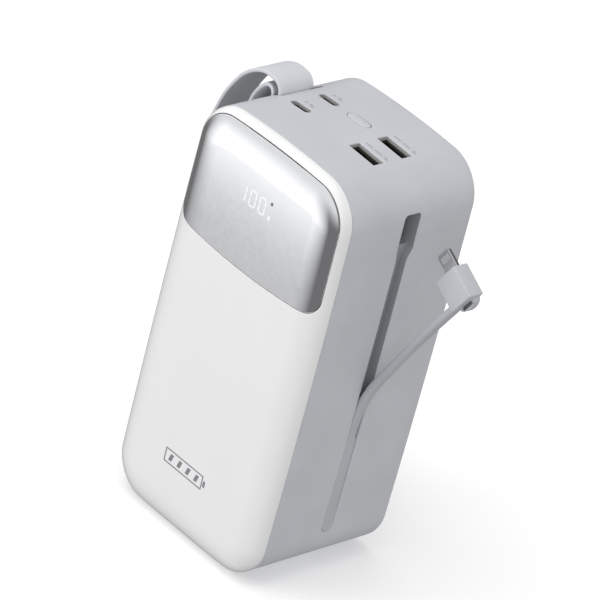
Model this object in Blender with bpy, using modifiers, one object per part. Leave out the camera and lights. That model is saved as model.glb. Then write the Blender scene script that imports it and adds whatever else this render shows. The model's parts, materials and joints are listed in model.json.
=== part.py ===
"""A tall power bank: a grey case with a domed white front, a mirrored display window, four top ports,
a built-in flat charging cable that stows in a side channel, and a soft hand strap.

Metres, +Z up. The origin is at the centre of the base, midway through the depth of the case, and the
front faces -Y. The cable and the strap are shown pulled out, as the part rests.
"""

import math

import bmesh
import bpy
from mathutils import Matrix, Vector

# Case. The front cover meets the rear housing at the seam.
CASE_WIDTH = 0.0760
CASE_HEIGHT = 0.1594
SEAM_Y = -0.0258
BACK_Y = 0.0321
CORNER_RADIUS = 0.0151
CORNER_STEPS = 8
TOP_CROWN = 0.00215
SIDE_CROWN = 0.00084
BASE_FLAT = 0.0140
WALL = 0.0024
BACK_EDGE = 0.0014
GAP = 0.0003

# Domed front: a quarter ellipse in from the edge, then flat.
DOME_DEPTH = 0.0063
DOME_REACH = 0.0100
DOME_STEPS = 8
COVER_THICKNESS = 0.0030
WINDOW_THICKNESS = 0.0012
WINDOW_RECESS = 0.0015
WINDOW_INSET = 0.0021
WINDOW_BOTTOM = 0.1090
WINDOW_RISE = 0.0030
WINDOW_CORNER = 0.0065
WINDOW_GAP = 0.00025

# Digits behind the window.
DISPLAY_CENTRE = (0.0010, 0.1370)
DISPLAY_SIZE = (0.0290, 0.0170)

# Top ports and button.
USB_A_X = 0.0157
USB_A_MID_Y = 0.0027
USB_A_OPENING = (0.0129, 0.0049)
USB_C_X = -0.0173
USB_C_MID_Y = 0.0021
USB_C_OPENING = (0.0090, 0.0032)
PORT_PITCH = 0.0132
SHELL_WALL = 0.0004
BUTTON_CENTRE = (-0.0021, 0.0088)
BUTTON_SIZE = (0.0103, 0.0039)
BUTTON_TRAVEL = 0.0005

# Cable channel in the right side, its deep seat for the connector head, and the slot for the plug.
CHANNEL_Y = 0.0022
CHANNEL_WIDTH = 0.0051
CHANNEL_FLOOR = 0.0347
CHANNEL_BOTTOM = 0.0170
FUNNEL_START = 0.1276
SEAT_Y = 0.0027
SEAT_WIDTH = 0.0074
SEAT_BOTTOM = 0.1329
SEAT_TOP = 0.1463
SEAT_FLOOR = 0.0250
SEAT_CORNER = 0.0015
PLUG_SLOT_FLOOR = 0.0175
PLUG_SLOT_WIDTH = 0.0026
PLUG_SLOT_LOW = 0.1360
PLUG_SLOT_HIGH = 0.1474

# Flat cable. Each link turns on the one before it, by the bends listed from the fixed run upwards.
CABLE_X = 0.0363
CABLE_WIDTH = 0.0046
CABLE_THICKNESS = 0.0026
CABLE_RUN_TOP = 0.0555
CABLE_LENGTH = 0.0777
CABLE_HINGES = (0.003, 0.009, 0.015, 0.021, 0.027, 0.045, 0.062)
CABLE_BENDS_DEG = (5.5, 5.5, 5.5, 5.5, 4.4, 1.8, 1.6)
LINK_GAP = 0.0005
TAIL_X = 0.0290
TAIL_THICKNESS = 0.0028
CLAMP_X = (0.0292, 0.0315)

# Connector head, along the cable (up), across it (through) and towards the case (in).
HEAD_UP = 0.0112
HEAD_THROUGH = 0.0066
HEAD_IN = 0.0106
HEAD_OUT = 0.0014
PLUG_UP = 0.00695
PLUG_SIZE = (0.0067, 0.0015, 0.0071)
PLUG_SEATED = 0.0020
THUMB_TAB = 0.0022

# Hand strap.
STRAP_Y = 0.0026
STRAP_WIDTH = 0.0158
STRAP_LAYER = 0.0021
STRAP_ROOT_X = -0.0291
STRAP_TURN_Z = 0.1573
STRAP_PIVOT = (-0.0345, 0.1603)
STRAP_PIN_Z = 0.1510
STRAP_PIN_RADIUS = 0.0015

# Cells and boards.
CELL_COUNT = 5
CELL_LOW = (-0.0330, 0.0100)
CELL_SIZE = (0.0600, 0.0098, 0.1140)
CELL_FIRST_Y = -0.0250
PAD_THICKNESS = 0.0006
TAB_X = (-0.0180, 0.0120)
TAB_HALF = (0.0040, 0.0002)
TAB_TOP = 0.1294
TAB_CLEARANCE = 0.0005
PLATE_THICKNESS = 0.0015
BUSBAR_Z = 0.1266
CRADLE_Z = 0.0078
CRADLE_FEET_X = (-0.018, 0.018)
BOARD_THICKNESS = 0.0016
MAIN_BOARD_Y = -0.0216
PORT_BOARD_Z = 0.1420
MAIN_SCREWS = ((-0.026, 0.1335), (0.026, 0.1335), (-0.026, 0.1495), (0.026, 0.1495))
PORT_SCREWS = ((-0.024, 0.0170), (0.010, 0.0170))

HALF_WIDTH = CASE_WIDTH / 2
HALF_HEIGHT = CASE_HEIGHT / 2

# Colour, roughness and metallic value of each material.
MATERIALS = {
    "grey_case": ((0.58, 0.59, 0.63), 0.45, 0.0),
    "white_gloss": ((0.86, 0.87, 0.88), 0.15, 0.0),
    "mirror_window": ((0.55, 0.57, 0.60), 0.08, 1.0),
    "soft_grey": ((0.55, 0.56, 0.60), 0.70, 0.0),
    "bright_metal": ((0.75, 0.75, 0.76), 0.25, 1.0),
    "dark_plastic": ((0.03, 0.03, 0.035), 0.40, 0.0),
    "board_green": ((0.02, 0.12, 0.06), 0.50, 0.0),
    "cell_foil": ((0.62, 0.63, 0.66), 0.35, 0.6),
    "foam": ((0.10, 0.10, 0.11), 0.90, 0.0),
    "natural_plastic": ((0.75, 0.74, 0.70), 0.50, 0.0),
}


def clear_scene():
    for old in list(bpy.data.objects):
        bpy.data.objects.remove(old, do_unlink=True)


def make_collection(name):
    collection = bpy.data.collections.new(name)
    bpy.context.scene.collection.children.link(collection)
    return collection


def make_material(name):
    colour, roughness, metallic = MATERIALS[name]
    material = bpy.data.materials.new(name)
    material.use_nodes = True
    shader = material.node_tree.nodes["Principled BSDF"]
    shader.inputs["Base Color"].default_value = (*colour, 1.0)
    shader.inputs["Roughness"].default_value = roughness
    shader.inputs["Metallic"].default_value = metallic
    material.diffuse_color = (*colour, 1.0)
    return material


clear_scene()
PARTS = make_collection("power_bank")
CUTTERS = make_collection("cutters")
SLOTS = {name: make_material(name) for name in MATERIALS}


def add_object(name, bm, slot=None):
    """The object made from bm: a part with the material slot, or a cutter when slot is None."""
    bmesh.ops.recalc_face_normals(bm, faces=bm.faces)
    mesh = bpy.data.meshes.new(name)
    bm.to_mesh(mesh)
    bm.free()
    mesh.shade_smooth()
    mesh.set_sharp_from_angle(angle=math.radians(35))
    obj = bpy.data.objects.new(name, mesh)
    if slot is None:
        obj.hide_render = True
        obj.display_type = "WIRE"
        CUTTERS.objects.link(obj)
    else:
        mesh.materials.append(SLOTS[slot])
        PARTS.objects.link(obj)
    return obj


def bevel(obj, width, segments=2):
    modifier = obj.modifiers.new("edges", "BEVEL")
    modifier.width = width
    modifier.segments = segments
    modifier.limit_method = "ANGLE"
    return obj


def boolean(obj, operation, others):
    for other in others:
        modifier = obj.modifiers.new(other.name, "BOOLEAN")
        modifier.operation = operation
        modifier.object = other
        modifier.solver = "EXACT"
    return obj


def box(name, low, high, slot=None):
    bm = bmesh.new()
    size = Vector(high) - Vector(low)
    centre = (Vector(high) + Vector(low)) / 2
    bmesh.ops.create_cube(bm, size=1.0, matrix=Matrix.Translation(centre) @ Matrix.Diagonal((*size, 1.0)))
    return add_object(name, bm, slot)


def cylinder(name, start, end, radius, slot=None, segments=16):
    bm = bmesh.new()
    along = Vector(end) - Vector(start)
    turn = Vector((0, 0, 1)).rotation_difference(along).to_matrix().to_4x4()
    place = Matrix.Translation((Vector(start) + Vector(end)) / 2) @ turn
    bmesh.ops.create_cone(
        bm, cap_ends=True, segments=segments, radius1=radius, radius2=radius, depth=along.length, matrix=place
    )
    return add_object(name, bm, slot)


AXES = {"X": (0, 1, 2), "Y": (1, 0, 2), "Z": (2, 0, 1)}


def prism(name, outline, axis, start, end, slot=None):
    """A flat outline pushed along axis. Its points are (y, z), (x, z) or (x, y), for axis X, Y or Z."""
    along, across, up = AXES[axis]
    bm = bmesh.new()
    corners = []
    for a, b in outline:
        point = [0.0, 0.0, 0.0]
        point[along], point[across], point[up] = start, a, b
        corners.append(bm.verts.new(point))
    face = bm.faces.new(corners)
    pushed = bmesh.ops.extrude_face_region(bm, geom=[face])
    step = [0.0, 0.0, 0.0]
    step[along] = end - start
    moved = [item for item in pushed["geom"] if isinstance(item, bmesh.types.BMVert)]
    bmesh.ops.translate(bm, verts=moved, vec=step)
    return add_object(name, bm, slot)


def arc(centre, radius, start_deg, end_deg, steps):
    angles = [math.radians(start_deg + (end_deg - start_deg) * i / steps) for i in range(steps + 1)]
    return [(centre[0] + radius * math.cos(a), centre[1] + radius * math.sin(a)) for a in angles]


def rounded_rectangle(centre, size, radius, steps=4):
    half = (size[0] / 2 - radius, size[1] / 2 - radius)
    points = []
    for turn, (sx, sy) in enumerate(((1, 1), (-1, 1), (-1, -1), (1, -1))):
        corner = (centre[0] + sx * half[0], centre[1] + sy * half[1])
        points += arc(corner, radius, 90 * turn, 90 * turn + 90, steps)
    return points


def stadium(centre, size, steps=6):
    """A slot shape with full round ends, longer along its first axis."""
    radius = size[1] / 2
    reach = size[0] / 2 - radius
    right = arc((centre[0] + reach, centre[1]), radius, -90, 90, steps)
    return right + arc((centre[0] - reach, centre[1]), radius, 90, 270, steps)


def smooth_path(points, steps=3):
    """Points along a curve that passes through those given, with the end points repeated."""
    padded = [points[0], *points, points[-1]]
    path = []
    for before, start, end, after in zip(padded, padded[1:], padded[2:], padded[3:]):
        for i in range(steps):
            t = i / steps
            point = []
            for a, b, c, d in zip(before, start, end, after):
                bend = (2 * a - 5 * b + 4 * c - d) * t**2 + (3 * b - a - 3 * c + d) * t**3
                point.append(b + 0.5 * ((c - a) * t + bend))
            path.append(tuple(point))
    return path + [points[-1]]


def crowned(x, z):
    """The case's outline bows slightly on every side but for a flat patch on its base."""
    up = z - HALF_HEIGHT
    side = abs(up) / HALF_HEIGHT
    across = abs(x) / HALF_WIDTH
    if up < 0:
        across = max(0.0, abs(x) - BASE_FLAT) / (HALF_WIDTH - BASE_FLAT)
    drop = TOP_CROWN * across**2 * side**4
    pinch = SIDE_CROWN * side**2 * (abs(x) / HALF_WIDTH) ** 4
    return x - math.copysign(pinch, x), z - math.copysign(drop, up)


def top_height(x):
    return CASE_HEIGHT - TOP_CROWN * (x / HALF_WIDTH) ** 2


def case_outline(inset):
    """The case's outline seen along Y, moved in by inset. It starts at the base and runs by the right."""
    half_width = HALF_WIDTH - inset
    half_height = HALF_HEIGHT - inset
    radius = CORNER_RADIUS - inset
    flat = HALF_WIDTH - CORNER_RADIUS
    tall = HALF_HEIGHT - CORNER_RADIUS
    points = [(flat * i / 3, -half_height) for i in range(3)]
    points += arc((flat, -tall), radius, -90, 0, CORNER_STEPS)
    points += [(half_width, tall * i / 3) for i in range(-2, 3)]
    points += arc((flat, tall), radius, 0, 90, CORNER_STEPS)
    points += [(flat * i / 3, half_height) for i in range(2, -1, -1)]
    points += [(-x, z) for x, z in points[-2:0:-1]]
    return [crowned(x, z + HALF_HEIGHT) for x, z in points]


def loft(name, rings, slot=None):
    """A closed body through rings of (outline, y), with its first and last ring filled."""
    bm = bmesh.new()
    loops = [[bm.verts.new((x, y, z)) for x, z in outline] for outline, y in rings]
    for near, far in zip(loops, loops[1:]):
        for i in range(len(near)):
            j = (i + 1) % len(near)
            bm.faces.new((near[i], near[j], far[j], far[i]))
    bm.faces.new(loops[0])
    bm.faces.new(loops[-1])
    return add_object(name, bm, slot)


def dome_rings(offset, steps=DOME_STEPS):
    """Rings from the seam to the flat front, of the dome's surface moved inwards by offset."""
    rings = []
    for i in range(steps + 1):
        angle = math.radians(90 * i / steps)
        across = math.cos(angle) / DOME_REACH
        out = math.sin(angle) / DOME_DEPTH
        length = math.hypot(across, out)
        inset = DOME_REACH * (1 - math.cos(angle)) + offset * across / length
        depth = DOME_DEPTH * math.sin(angle) - offset * out / length
        rings.append((case_outline(inset), SEAM_Y - GAP / 2 - depth))
    return rings


def dome_shell(name, outer, inner, slot=None):
    """The layer of the domed front between two depths below its surface."""
    return loft(name, dome_rings(inner)[::-1] + dome_rings(outer), slot)


def window_edge_height(x, inset):
    """The window's lower edge, which rises towards the sides."""
    return WINDOW_BOTTOM + inset - WINDOW_INSET + WINDOW_RISE * (x / HALF_WIDTH) ** 2


def window_outline(inset):
    """The window fills the front inside its rim, down to a curved lower edge with round corners."""
    corner_top = window_edge_height(HALF_WIDTH, inset) + WINDOW_CORNER
    upper = [point for point in case_outline(inset) if point[1] > corner_top]
    right = upper[0][0] - WINDOW_CORNER
    lean = math.atan(2 * WINDOW_RISE * right / HALF_WIDTH**2)
    start = right + WINDOW_CORNER * math.sin(lean)
    height = window_edge_height(start, inset) + WINDOW_CORNER * math.cos(lean)
    right_corner = arc((right, height), WINDOW_CORNER, math.degrees(lean) - 90, 0, 6)
    left_corner = [(-x, z) for x, z in reversed(right_corner)]
    lower = [(start * i / 4, window_edge_height(start * i / 4, inset)) for i in range(-3, 4)]
    return lower + right_corner + upper + left_corner


# --- Case -------------------------------------------------------------------------------------------


def port_places():
    """Centre of each top port: name, x and y."""
    places = []
    for kind, x, mid in (("usb_a", USB_A_X, USB_A_MID_Y), ("usb_c", USB_C_X, USB_C_MID_Y)):
        places.append((f"{kind}_front", x, mid - PORT_PITCH / 2))
        places.append((f"{kind}_rear", x, mid + PORT_PITCH / 2))
    return places


def port_outline(name, centre, grow=0.0):
    if name.startswith("usb_a"):
        size = [side + 2 * grow for side in USB_A_OPENING]
        return rounded_rectangle(centre, size, 0.0003 + grow, 2)
    return stadium(centre, [side + 2 * grow for side in USB_C_OPENING])


def top_cutters():
    """Holes through the top of the case: the ports, the button and the strap."""
    low = CASE_HEIGHT - 0.012
    high = CASE_HEIGHT + 0.002
    cutters = []
    for name, x, y in port_places():
        cutters.append(prism(f"{name}_hole", port_outline(name, (x, y)), "Z", low, high))
    size = [side + 2 * GAP for side in BUTTON_SIZE]
    cutters.append(prism("button_hole", stadium(BUTTON_CENTRE, size), "Z", low, high))
    half = (STRAP_LAYER + GAP, STRAP_WIDTH / 2 + GAP)
    low_corner = (STRAP_ROOT_X - half[0], STRAP_Y - half[1], 0.1500)
    high_corner = (STRAP_ROOT_X + half[0], STRAP_Y + half[1], high)
    cutters.append(box("strap_hole", low_corner, high_corner))
    return cutters


def channel_walls():
    """Material inside the right wall that backs the cable channel, the head's seat and the plug's slot."""
    wall = 0.0018
    outside = HALF_WIDTH - 0.0016
    reach = CHANNEL_WIDTH / 2 + wall
    rib = box(
        "channel_rib",
        (CHANNEL_FLOOR - wall, CHANNEL_Y - reach, CHANNEL_BOTTOM - wall - 0.001),
        (outside, CHANNEL_Y + reach, SEAT_BOTTOM),
    )
    reach = SEAT_WIDTH / 2 + wall
    seat = box(
        "seat_block",
        (SEAT_FLOOR - wall, SEAT_Y - reach, FUNNEL_START - wall),
        (outside - 0.0008, SEAT_Y + reach, SEAT_TOP + wall),
    )
    reach = PLUG_SLOT_WIDTH / 2 + 0.0012
    slot = box(
        "slot_block",
        (PLUG_SLOT_FLOOR - wall, SEAT_Y - reach, PLUG_SLOT_LOW - wall),
        (SEAT_FLOOR, SEAT_Y + reach, PLUG_SLOT_HIGH + 0.0009),
    )
    return [rib, seat, slot]


def channel_cutters():
    """The channel, widening through a funnel into the seat, the seat, the plug's slot and the inlet."""
    left = CHANNEL_Y - CHANNEL_WIDTH / 2
    right = CHANNEL_Y + CHANNEL_WIDTH / 2
    seat_left = SEAT_Y - SEAT_WIDTH / 2
    seat_right = SEAT_Y + SEAT_WIDTH / 2
    radius = CHANNEL_WIDTH / 2
    round_end = arc((CHANNEL_Y, CHANNEL_BOTTOM + radius), radius, 180, 360, 8)
    funnel = [(right, FUNNEL_START), (seat_right, SEAT_BOTTOM), (seat_right, SEAT_BOTTOM + 0.002)]
    funnel += [(seat_left, SEAT_BOTTOM + 0.002), (seat_left, SEAT_BOTTOM), (left, FUNNEL_START)]
    channel = prism("channel_cut", round_end + funnel, "X", CHANNEL_FLOOR, HALF_WIDTH + 0.002)
    middle = (SEAT_Y, (SEAT_BOTTOM + SEAT_TOP) / 2)
    opening = rounded_rectangle(middle, (SEAT_WIDTH, SEAT_TOP - SEAT_BOTTOM), SEAT_CORNER)
    seat = prism("seat_cut", opening, "X", SEAT_FLOOR, HALF_WIDTH + 0.002)
    reach = PLUG_SLOT_WIDTH / 2
    slot = box(
        "plug_slot_cut",
        (PLUG_SLOT_FLOOR, SEAT_Y - reach, PLUG_SLOT_LOW),
        (HALF_WIDTH - 0.0035, SEAT_Y + reach, PLUG_SLOT_HIGH),
    )
    inlet = box(
        "cable_inlet_cut",
        (CHANNEL_FLOOR - 0.004, CHANNEL_Y - 0.0023, CHANNEL_BOTTOM + 0.0016),
        (CHANNEL_FLOOR + 0.001, CHANNEL_Y + 0.0023, CHANNEL_BOTTOM + 0.0050),
    )
    return [channel, seat, slot, inlet]


def strap_lugs():
    """Two lugs under the top wall that carry the strap's pin."""
    lugs = []
    for side, name in ((-1, "front"), (1, "rear")):
        inner = STRAP_Y + side * (STRAP_WIDTH / 2 + 0.0010)
        outer = inner + side * 0.0030
        low = (STRAP_ROOT_X - 0.0028, min(inner, outer), STRAP_PIN_Z - 0.0035)
        high = (STRAP_ROOT_X + 0.0028, max(inner, outer), STRAP_PIN_Z + 0.0035)
        lugs.append(box(f"strap_lug_{name}", low, high))
    return lugs


def board_bosses():
    """Blocks on the back wall that the port board screws down to."""
    bosses = []
    for i, (x, y) in enumerate(PORT_SCREWS):
        low = (x - 0.0035, y - 0.0035, PORT_BOARD_Z - 0.0080)
        high = (x + 0.0035, BACK_Y - 0.0012, PORT_BOARD_Z - GAP)
        bosses.append(box(f"board_boss_{i + 1}", low, high))
    return bosses


def rear_housing():
    front = SEAM_Y + GAP / 2
    rings = [(case_outline(WALL), BACK_Y - WALL), (case_outline(WALL), front), (case_outline(0.0), front)]
    for i in range(4):
        angle = math.radians(30 * i)
        inset = BACK_EDGE * (1 - math.cos(angle))
        rings.append((case_outline(inset), BACK_Y - BACK_EDGE + BACK_EDGE * math.sin(angle)))
    housing = loft("rear_housing", rings, "grey_case")
    boolean(housing, "UNION", channel_walls() + strap_lugs() + board_bosses())
    boolean(housing, "DIFFERENCE", top_cutters() + channel_cutters())
    pin_reach = STRAP_WIDTH / 2 + 0.0032
    pin_hole = cylinder(
        "strap_pin_hole",
        (STRAP_ROOT_X, STRAP_Y - pin_reach, STRAP_PIN_Z),
        (STRAP_ROOT_X, STRAP_Y + pin_reach, STRAP_PIN_Z),
        STRAP_PIN_RADIUS + GAP,
    )
    boolean(housing, "DIFFERENCE", [pin_hole])
    for i, (x, y) in enumerate(PORT_SCREWS):
        low = (x, y, PORT_BOARD_Z - 0.0072)
        high = (x, y, PORT_BOARD_Z + 0.001)
        boolean(housing, "DIFFERENCE", [cylinder(f"boss_hole_{i + 1}", low, high, 0.0013, segments=10)])


def display_opening(margin):
    (x, z), (width, height) = DISPLAY_CENTRE, DISPLAY_SIZE
    low = (x - width / 2 - margin, -0.040, z - height / 2 - margin)
    high = (x + width / 2 + margin, -0.020, z + height / 2 + margin)
    return low, high


def front_cover():
    cover = dome_shell("front_cover", 0.0, COVER_THICKNESS, "white_gloss")
    recess = dome_shell("window_recess", -0.0010, WINDOW_RECESS)
    area = prism("window_area", window_outline(WINDOW_INSET), "Y", -0.045, -0.015)
    boolean(recess, "INTERSECT", [area])
    posts = []
    for i, (x, z) in enumerate(MAIN_SCREWS):
        near = (x, SEAM_Y - DOME_DEPTH + COVER_THICKNESS - 0.0012, z)
        posts.append(cylinder(f"cover_post_{i + 1}", near, (x, MAIN_BOARD_Y - GAP, z), 0.0025))
    boolean(cover, "UNION", posts)
    boolean(cover, "DIFFERENCE", [recess, box("display_opening", *display_opening(0.0005))])
    for i, (x, z) in enumerate(MAIN_SCREWS):
        near = (x, MAIN_BOARD_Y - 0.0058, z)
        hole = cylinder(f"post_hole_{i + 1}", near, (x, MAIN_BOARD_Y, z), 0.0013, segments=10)
        boolean(cover, "DIFFERENCE", [hole])


def display_window():
    window = dome_shell("display_window", 0.0, WINDOW_THICKNESS, "mirror_window")
    outline = window_outline(WINDOW_INSET + WINDOW_GAP)
    boolean(window, "INTERSECT", [prism("window_edge", outline, "Y", -0.045, -0.015)])


# --- Ports, button and boards -----------------------------------------------------------------------


def port_receptacle(name, x, y):
    """A metal shell open at the top, with a tongue standing on its floor."""
    high = top_height(abs(x) + 0.0065) - WALL - GAP
    low = PORT_BOARD_Z + BOARD_THICKNESS + GAP
    shell = prism(f"{name}_shell", port_outline(name, (x, y), SHELL_WALL), "Z", low, high, "bright_metal")
    hollow = prism(f"{name}_hollow", port_outline(name, (x, y)), "Z", low + 0.0010, high + 0.001)
    boolean(shell, "DIFFERENCE", [hollow])
    if name.startswith("usb_a"):
        low_corner = (x - 0.0055, y - 0.0001, low + 0.0010 + GAP)
        high_corner = (x + 0.0055, y + 0.0018, high - 0.0020)
    else:
        low_corner = (x - 0.0033, y - 0.00035, low + 0.0010 + GAP)
        high_corner = (x + 0.0033, y + 0.00035, high - 0.0008)
    box(f"{name}_tongue", low_corner, high_corner, "dark_plastic")


def power_button():
    """The cap, its hidden flange and the stem that presses the switch."""
    face = top_height(BUTTON_CENTRE[0]) - 0.0001
    flange_top = top_height(0.009) - WALL - 0.0002 - BUTTON_TRAVEL / 5
    outline = stadium(BUTTON_CENTRE, BUTTON_SIZE)
    cap = prism("power_button", outline, "Z", flange_top - 0.0005, face, "soft_grey")
    wide = [side + 0.0022 for side in BUTTON_SIZE]
    flange = prism("button_flange", stadium(BUTTON_CENTRE, wide), "Z", flange_top - 0.0010, flange_top)
    x, y = BUTTON_CENTRE
    foot = (x, y, switch_top() + BUTTON_TRAVEL + 0.0002)
    stem = cylinder("button_stem", foot, (x, y, flange_top - 0.0002), 0.0013)
    boolean(cap, "UNION", [flange, stem])


def switch_top():
    return PORT_BOARD_Z + BOARD_THICKNESS + GAP + 0.0045


def tact_switch():
    x, y = BUTTON_CENTRE
    low = PORT_BOARD_Z + BOARD_THICKNESS + GAP
    high_corner = (x + 0.003, y + 0.003, low + 0.0035)
    switch = box("tact_switch", (x - 0.003, y - 0.003, low), high_corner, "dark_plastic")
    boolean(switch, "UNION", [cylinder("switch_plunger", (x, y, low + 0.003), (x, y, switch_top()), 0.0016)])


def screw(name, place, towards, slot="bright_metal"):
    """A pan-head screw: its head's underside is at place and its thread runs along towards."""
    head, shank, tall, length, socket = 0.0020, 0.0010, 0.0013, 0.0055, 0.0006
    profile = [(0, tall - socket), (socket, tall - socket), (socket, tall), (head, tall)]
    profile += [(head, 0), (shank, 0), (shank, -length), (0, -length)]
    bm = bmesh.new()
    points = [bm.verts.new((x, 0, z)) for x, z in profile]
    for a, b in zip(points, points[1:]):
        bm.edges.new((a, b))
    mesh = bpy.data.meshes.new(name)
    bm.to_mesh(mesh)
    bm.free()
    mesh.materials.append(SLOTS[slot])
    obj = bpy.data.objects.new(name, mesh)
    PARTS.objects.link(obj)
    turned = obj.modifiers.new("turned", "SCREW")
    turned.steps = turned.render_steps = 12
    turned.use_merge_vertices = True
    turned.merge_threshold = 0.00001
    obj.location = place
    obj.rotation_mode = "QUATERNION"
    obj.rotation_quaternion = Vector((0, 0, -1)).rotation_difference(Vector(towards))
    return obj


def main_board():
    """The vertical board behind the display, its parts and the display's own board and light guide."""
    rear = MAIN_BOARD_Y + BOARD_THICKNESS
    board = box("main_board", (-0.030, MAIN_BOARD_Y, 0.1302), (0.030, rear, 0.1530), "board_green")
    for i, (x, z) in enumerate(MAIN_SCREWS):
        start, end = (x, MAIN_BOARD_Y - 0.001, z), (x, rear + 0.001, z)
        boolean(board, "DIFFERENCE", [cylinder(f"main_hole_{i + 1}", start, end, 0.0013, segments=10)])
        screw(f"main_board_screw_{i + 1}", (x, rear + GAP, z), (0, -1, 0))
    part_face = rear + GAP
    for i, x in enumerate((-0.0185, -0.0070)):
        low, high = (x - 0.005, part_face, 0.1306), (x + 0.005, part_face + 0.005, 0.1386)
        bevel(box(f"power_inductor_{i + 1}", low, high, "dark_plastic"), 0.0008, 1)
    for i, x in enumerate((0.0035, 0.0110)):
        foot = (x, part_face, 0.1345)
        cylinder(f"capacitor_{i + 1}", foot, (x, part_face + 0.0070, 0.1345), 0.0031, "bright_metal")
    connector_high = (0.008, part_face + 0.0022, 0.1445)
    box("board_connector", (-0.012, part_face, 0.1395), connector_high, "natural_plastic")
    low, high = display_opening(-GAP)
    box("digit_light_guide", (low[0], -0.0304, low[2]), (high[0], -0.0271, high[2]), "natural_plastic")
    board_low = (low[0] - 0.001, -0.0268, low[2] - 0.001)
    board_high = (high[0] + 0.001, -0.0256, high[2] + 0.001)
    box("display_board", board_low, board_high, "board_green")


def port_board():
    """The level board that carries the receptacles and the switch, notched round the plug's slot."""
    top = PORT_BOARD_Z + BOARD_THICKNESS
    board = box("port_board", (-0.0285, -0.0155, PORT_BOARD_Z), (0.0225, 0.0215, top), "board_green")
    reach = PLUG_SLOT_WIDTH / 2 + 0.0018
    notch_low = (PLUG_SLOT_FLOOR - 0.0024, SEAT_Y - reach, PORT_BOARD_Z - 0.001)
    boolean(board, "DIFFERENCE", [box("board_notch", notch_low, (0.024, SEAT_Y + reach, top + 0.001))])
    for i, (x, y) in enumerate(PORT_SCREWS):
        start, end = (x, y, PORT_BOARD_Z - 0.001), (x, y, top + 0.001)
        boolean(board, "DIFFERENCE", [cylinder(f"port_hole_{i + 1}", start, end, 0.0013, segments=10)])
        screw(f"port_board_screw_{i + 1}", (x, y, top + GAP), (0, 0, -1))


# --- Battery ----------------------------------------------------------------------------------------


def cell_with_tabs(number, near):
    """One flat pouch cell and its two tabs. Returns cutters for the slots that the tabs pass through."""
    (left, low), (width, thick, tall) = CELL_LOW, CELL_SIZE
    top = low + tall
    middle = near + thick / 2
    cell = box(f"battery_cell_{number}", (left, near, low), (left + width, near + thick, top), "cell_foil")
    bevel(cell, 0.0015)
    tabs = []
    slots = []
    for x in TAB_X:
        tab_low = (x - TAB_HALF[0], middle - TAB_HALF[1], top - 0.001)
        tab_high = (x + TAB_HALF[0], middle + TAB_HALF[1], TAB_TOP)
        tabs.append(box(f"tab_{number}_{x:.3f}", tab_low, tab_high))
        slot_low = (tab_low[0] - TAB_CLEARANCE, tab_low[1] - TAB_CLEARANCE, top)
        slot_high = (tab_high[0] + TAB_CLEARANCE, tab_high[1] + TAB_CLEARANCE, TAB_TOP)
        slots.append(box(f"slot_{number}_{x:.3f}", slot_low, slot_high))
    boolean(cell, "UNION", tabs)
    return slots


def battery():
    """Flat cells side by side, foam between them, a cradle below and a plate above that their tabs pass."""
    (left, low), (width, thick, tall) = CELL_LOW, CELL_SIZE
    right = left + width
    pitch = thick + PAD_THICKNESS + 2 * GAP
    slots = []
    for i in range(CELL_COUNT):
        near = CELL_FIRST_Y + i * pitch
        slots += cell_with_tabs(i + 1, near)
        if i:
            pad_far = near - GAP
            pad_low = (left + 0.003, pad_far - PAD_THICKNESS, low + 0.002)
            box(f"cell_pad_{i}", pad_low, (right - 0.003, pad_far, low + tall - 0.002), "foam")
    last_y = CELL_FIRST_Y + (CELL_COUNT - 1) * pitch + thick
    plate_low = (left, CELL_FIRST_Y, low + tall + GAP)
    plate_high = (right, last_y, plate_low[2] + PLATE_THICKNESS)
    boolean(box("cell_top_plate", plate_low, plate_high, "natural_plastic"), "DIFFERENCE", slots)
    cradle_low = (left + 0.003, CELL_FIRST_Y, CRADLE_Z)
    cradle = box("cell_cradle", cradle_low, (right - 0.0005, last_y, low - GAP), "natural_plastic")
    feet = []
    for i, x in enumerate(CRADLE_FEET_X):
        foot_low = (x - 0.002, CELL_FIRST_Y + 0.002, WALL + 0.0005)
        feet.append(box(f"cradle_foot_{i + 1}", foot_low, (x + 0.002, last_y - 0.002, CRADLE_Z + 0.0007)))
    boolean(cradle, "UNION", feet)
    for name, x in (("negative", TAB_X[0] + 0.0045), ("positive", TAB_X[1] - 0.0075)):
        bar_low = (x, CELL_FIRST_Y + 0.003, BUSBAR_Z)
        box(f"busbar_{name}", bar_low, (x + 0.003, last_y - 0.003, BUSBAR_Z + 0.0010), "bright_metal")
    box("protection_board", (-0.030, 0.0080, 0.1310), (0.013, 0.0260, 0.1324), "board_green")


# --- Cable ------------------------------------------------------------------------------------------


def cable_stations():
    """Each hinge's place and the lean of the link above it, then the cable's end and its lean."""
    x, z, lean, along = CABLE_X, CABLE_RUN_TOP, 0.0, 0.0
    stations = []
    for distance, bend in zip((*CABLE_HINGES, CABLE_LENGTH), (*CABLE_BENDS_DEG, 0.0)):
        x += math.sin(lean) * (distance - along)
        z += math.cos(lean) * (distance - along)
        along = distance
        lean += math.radians(bend)
        stations.append((x, z, lean))
    return stations


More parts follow.
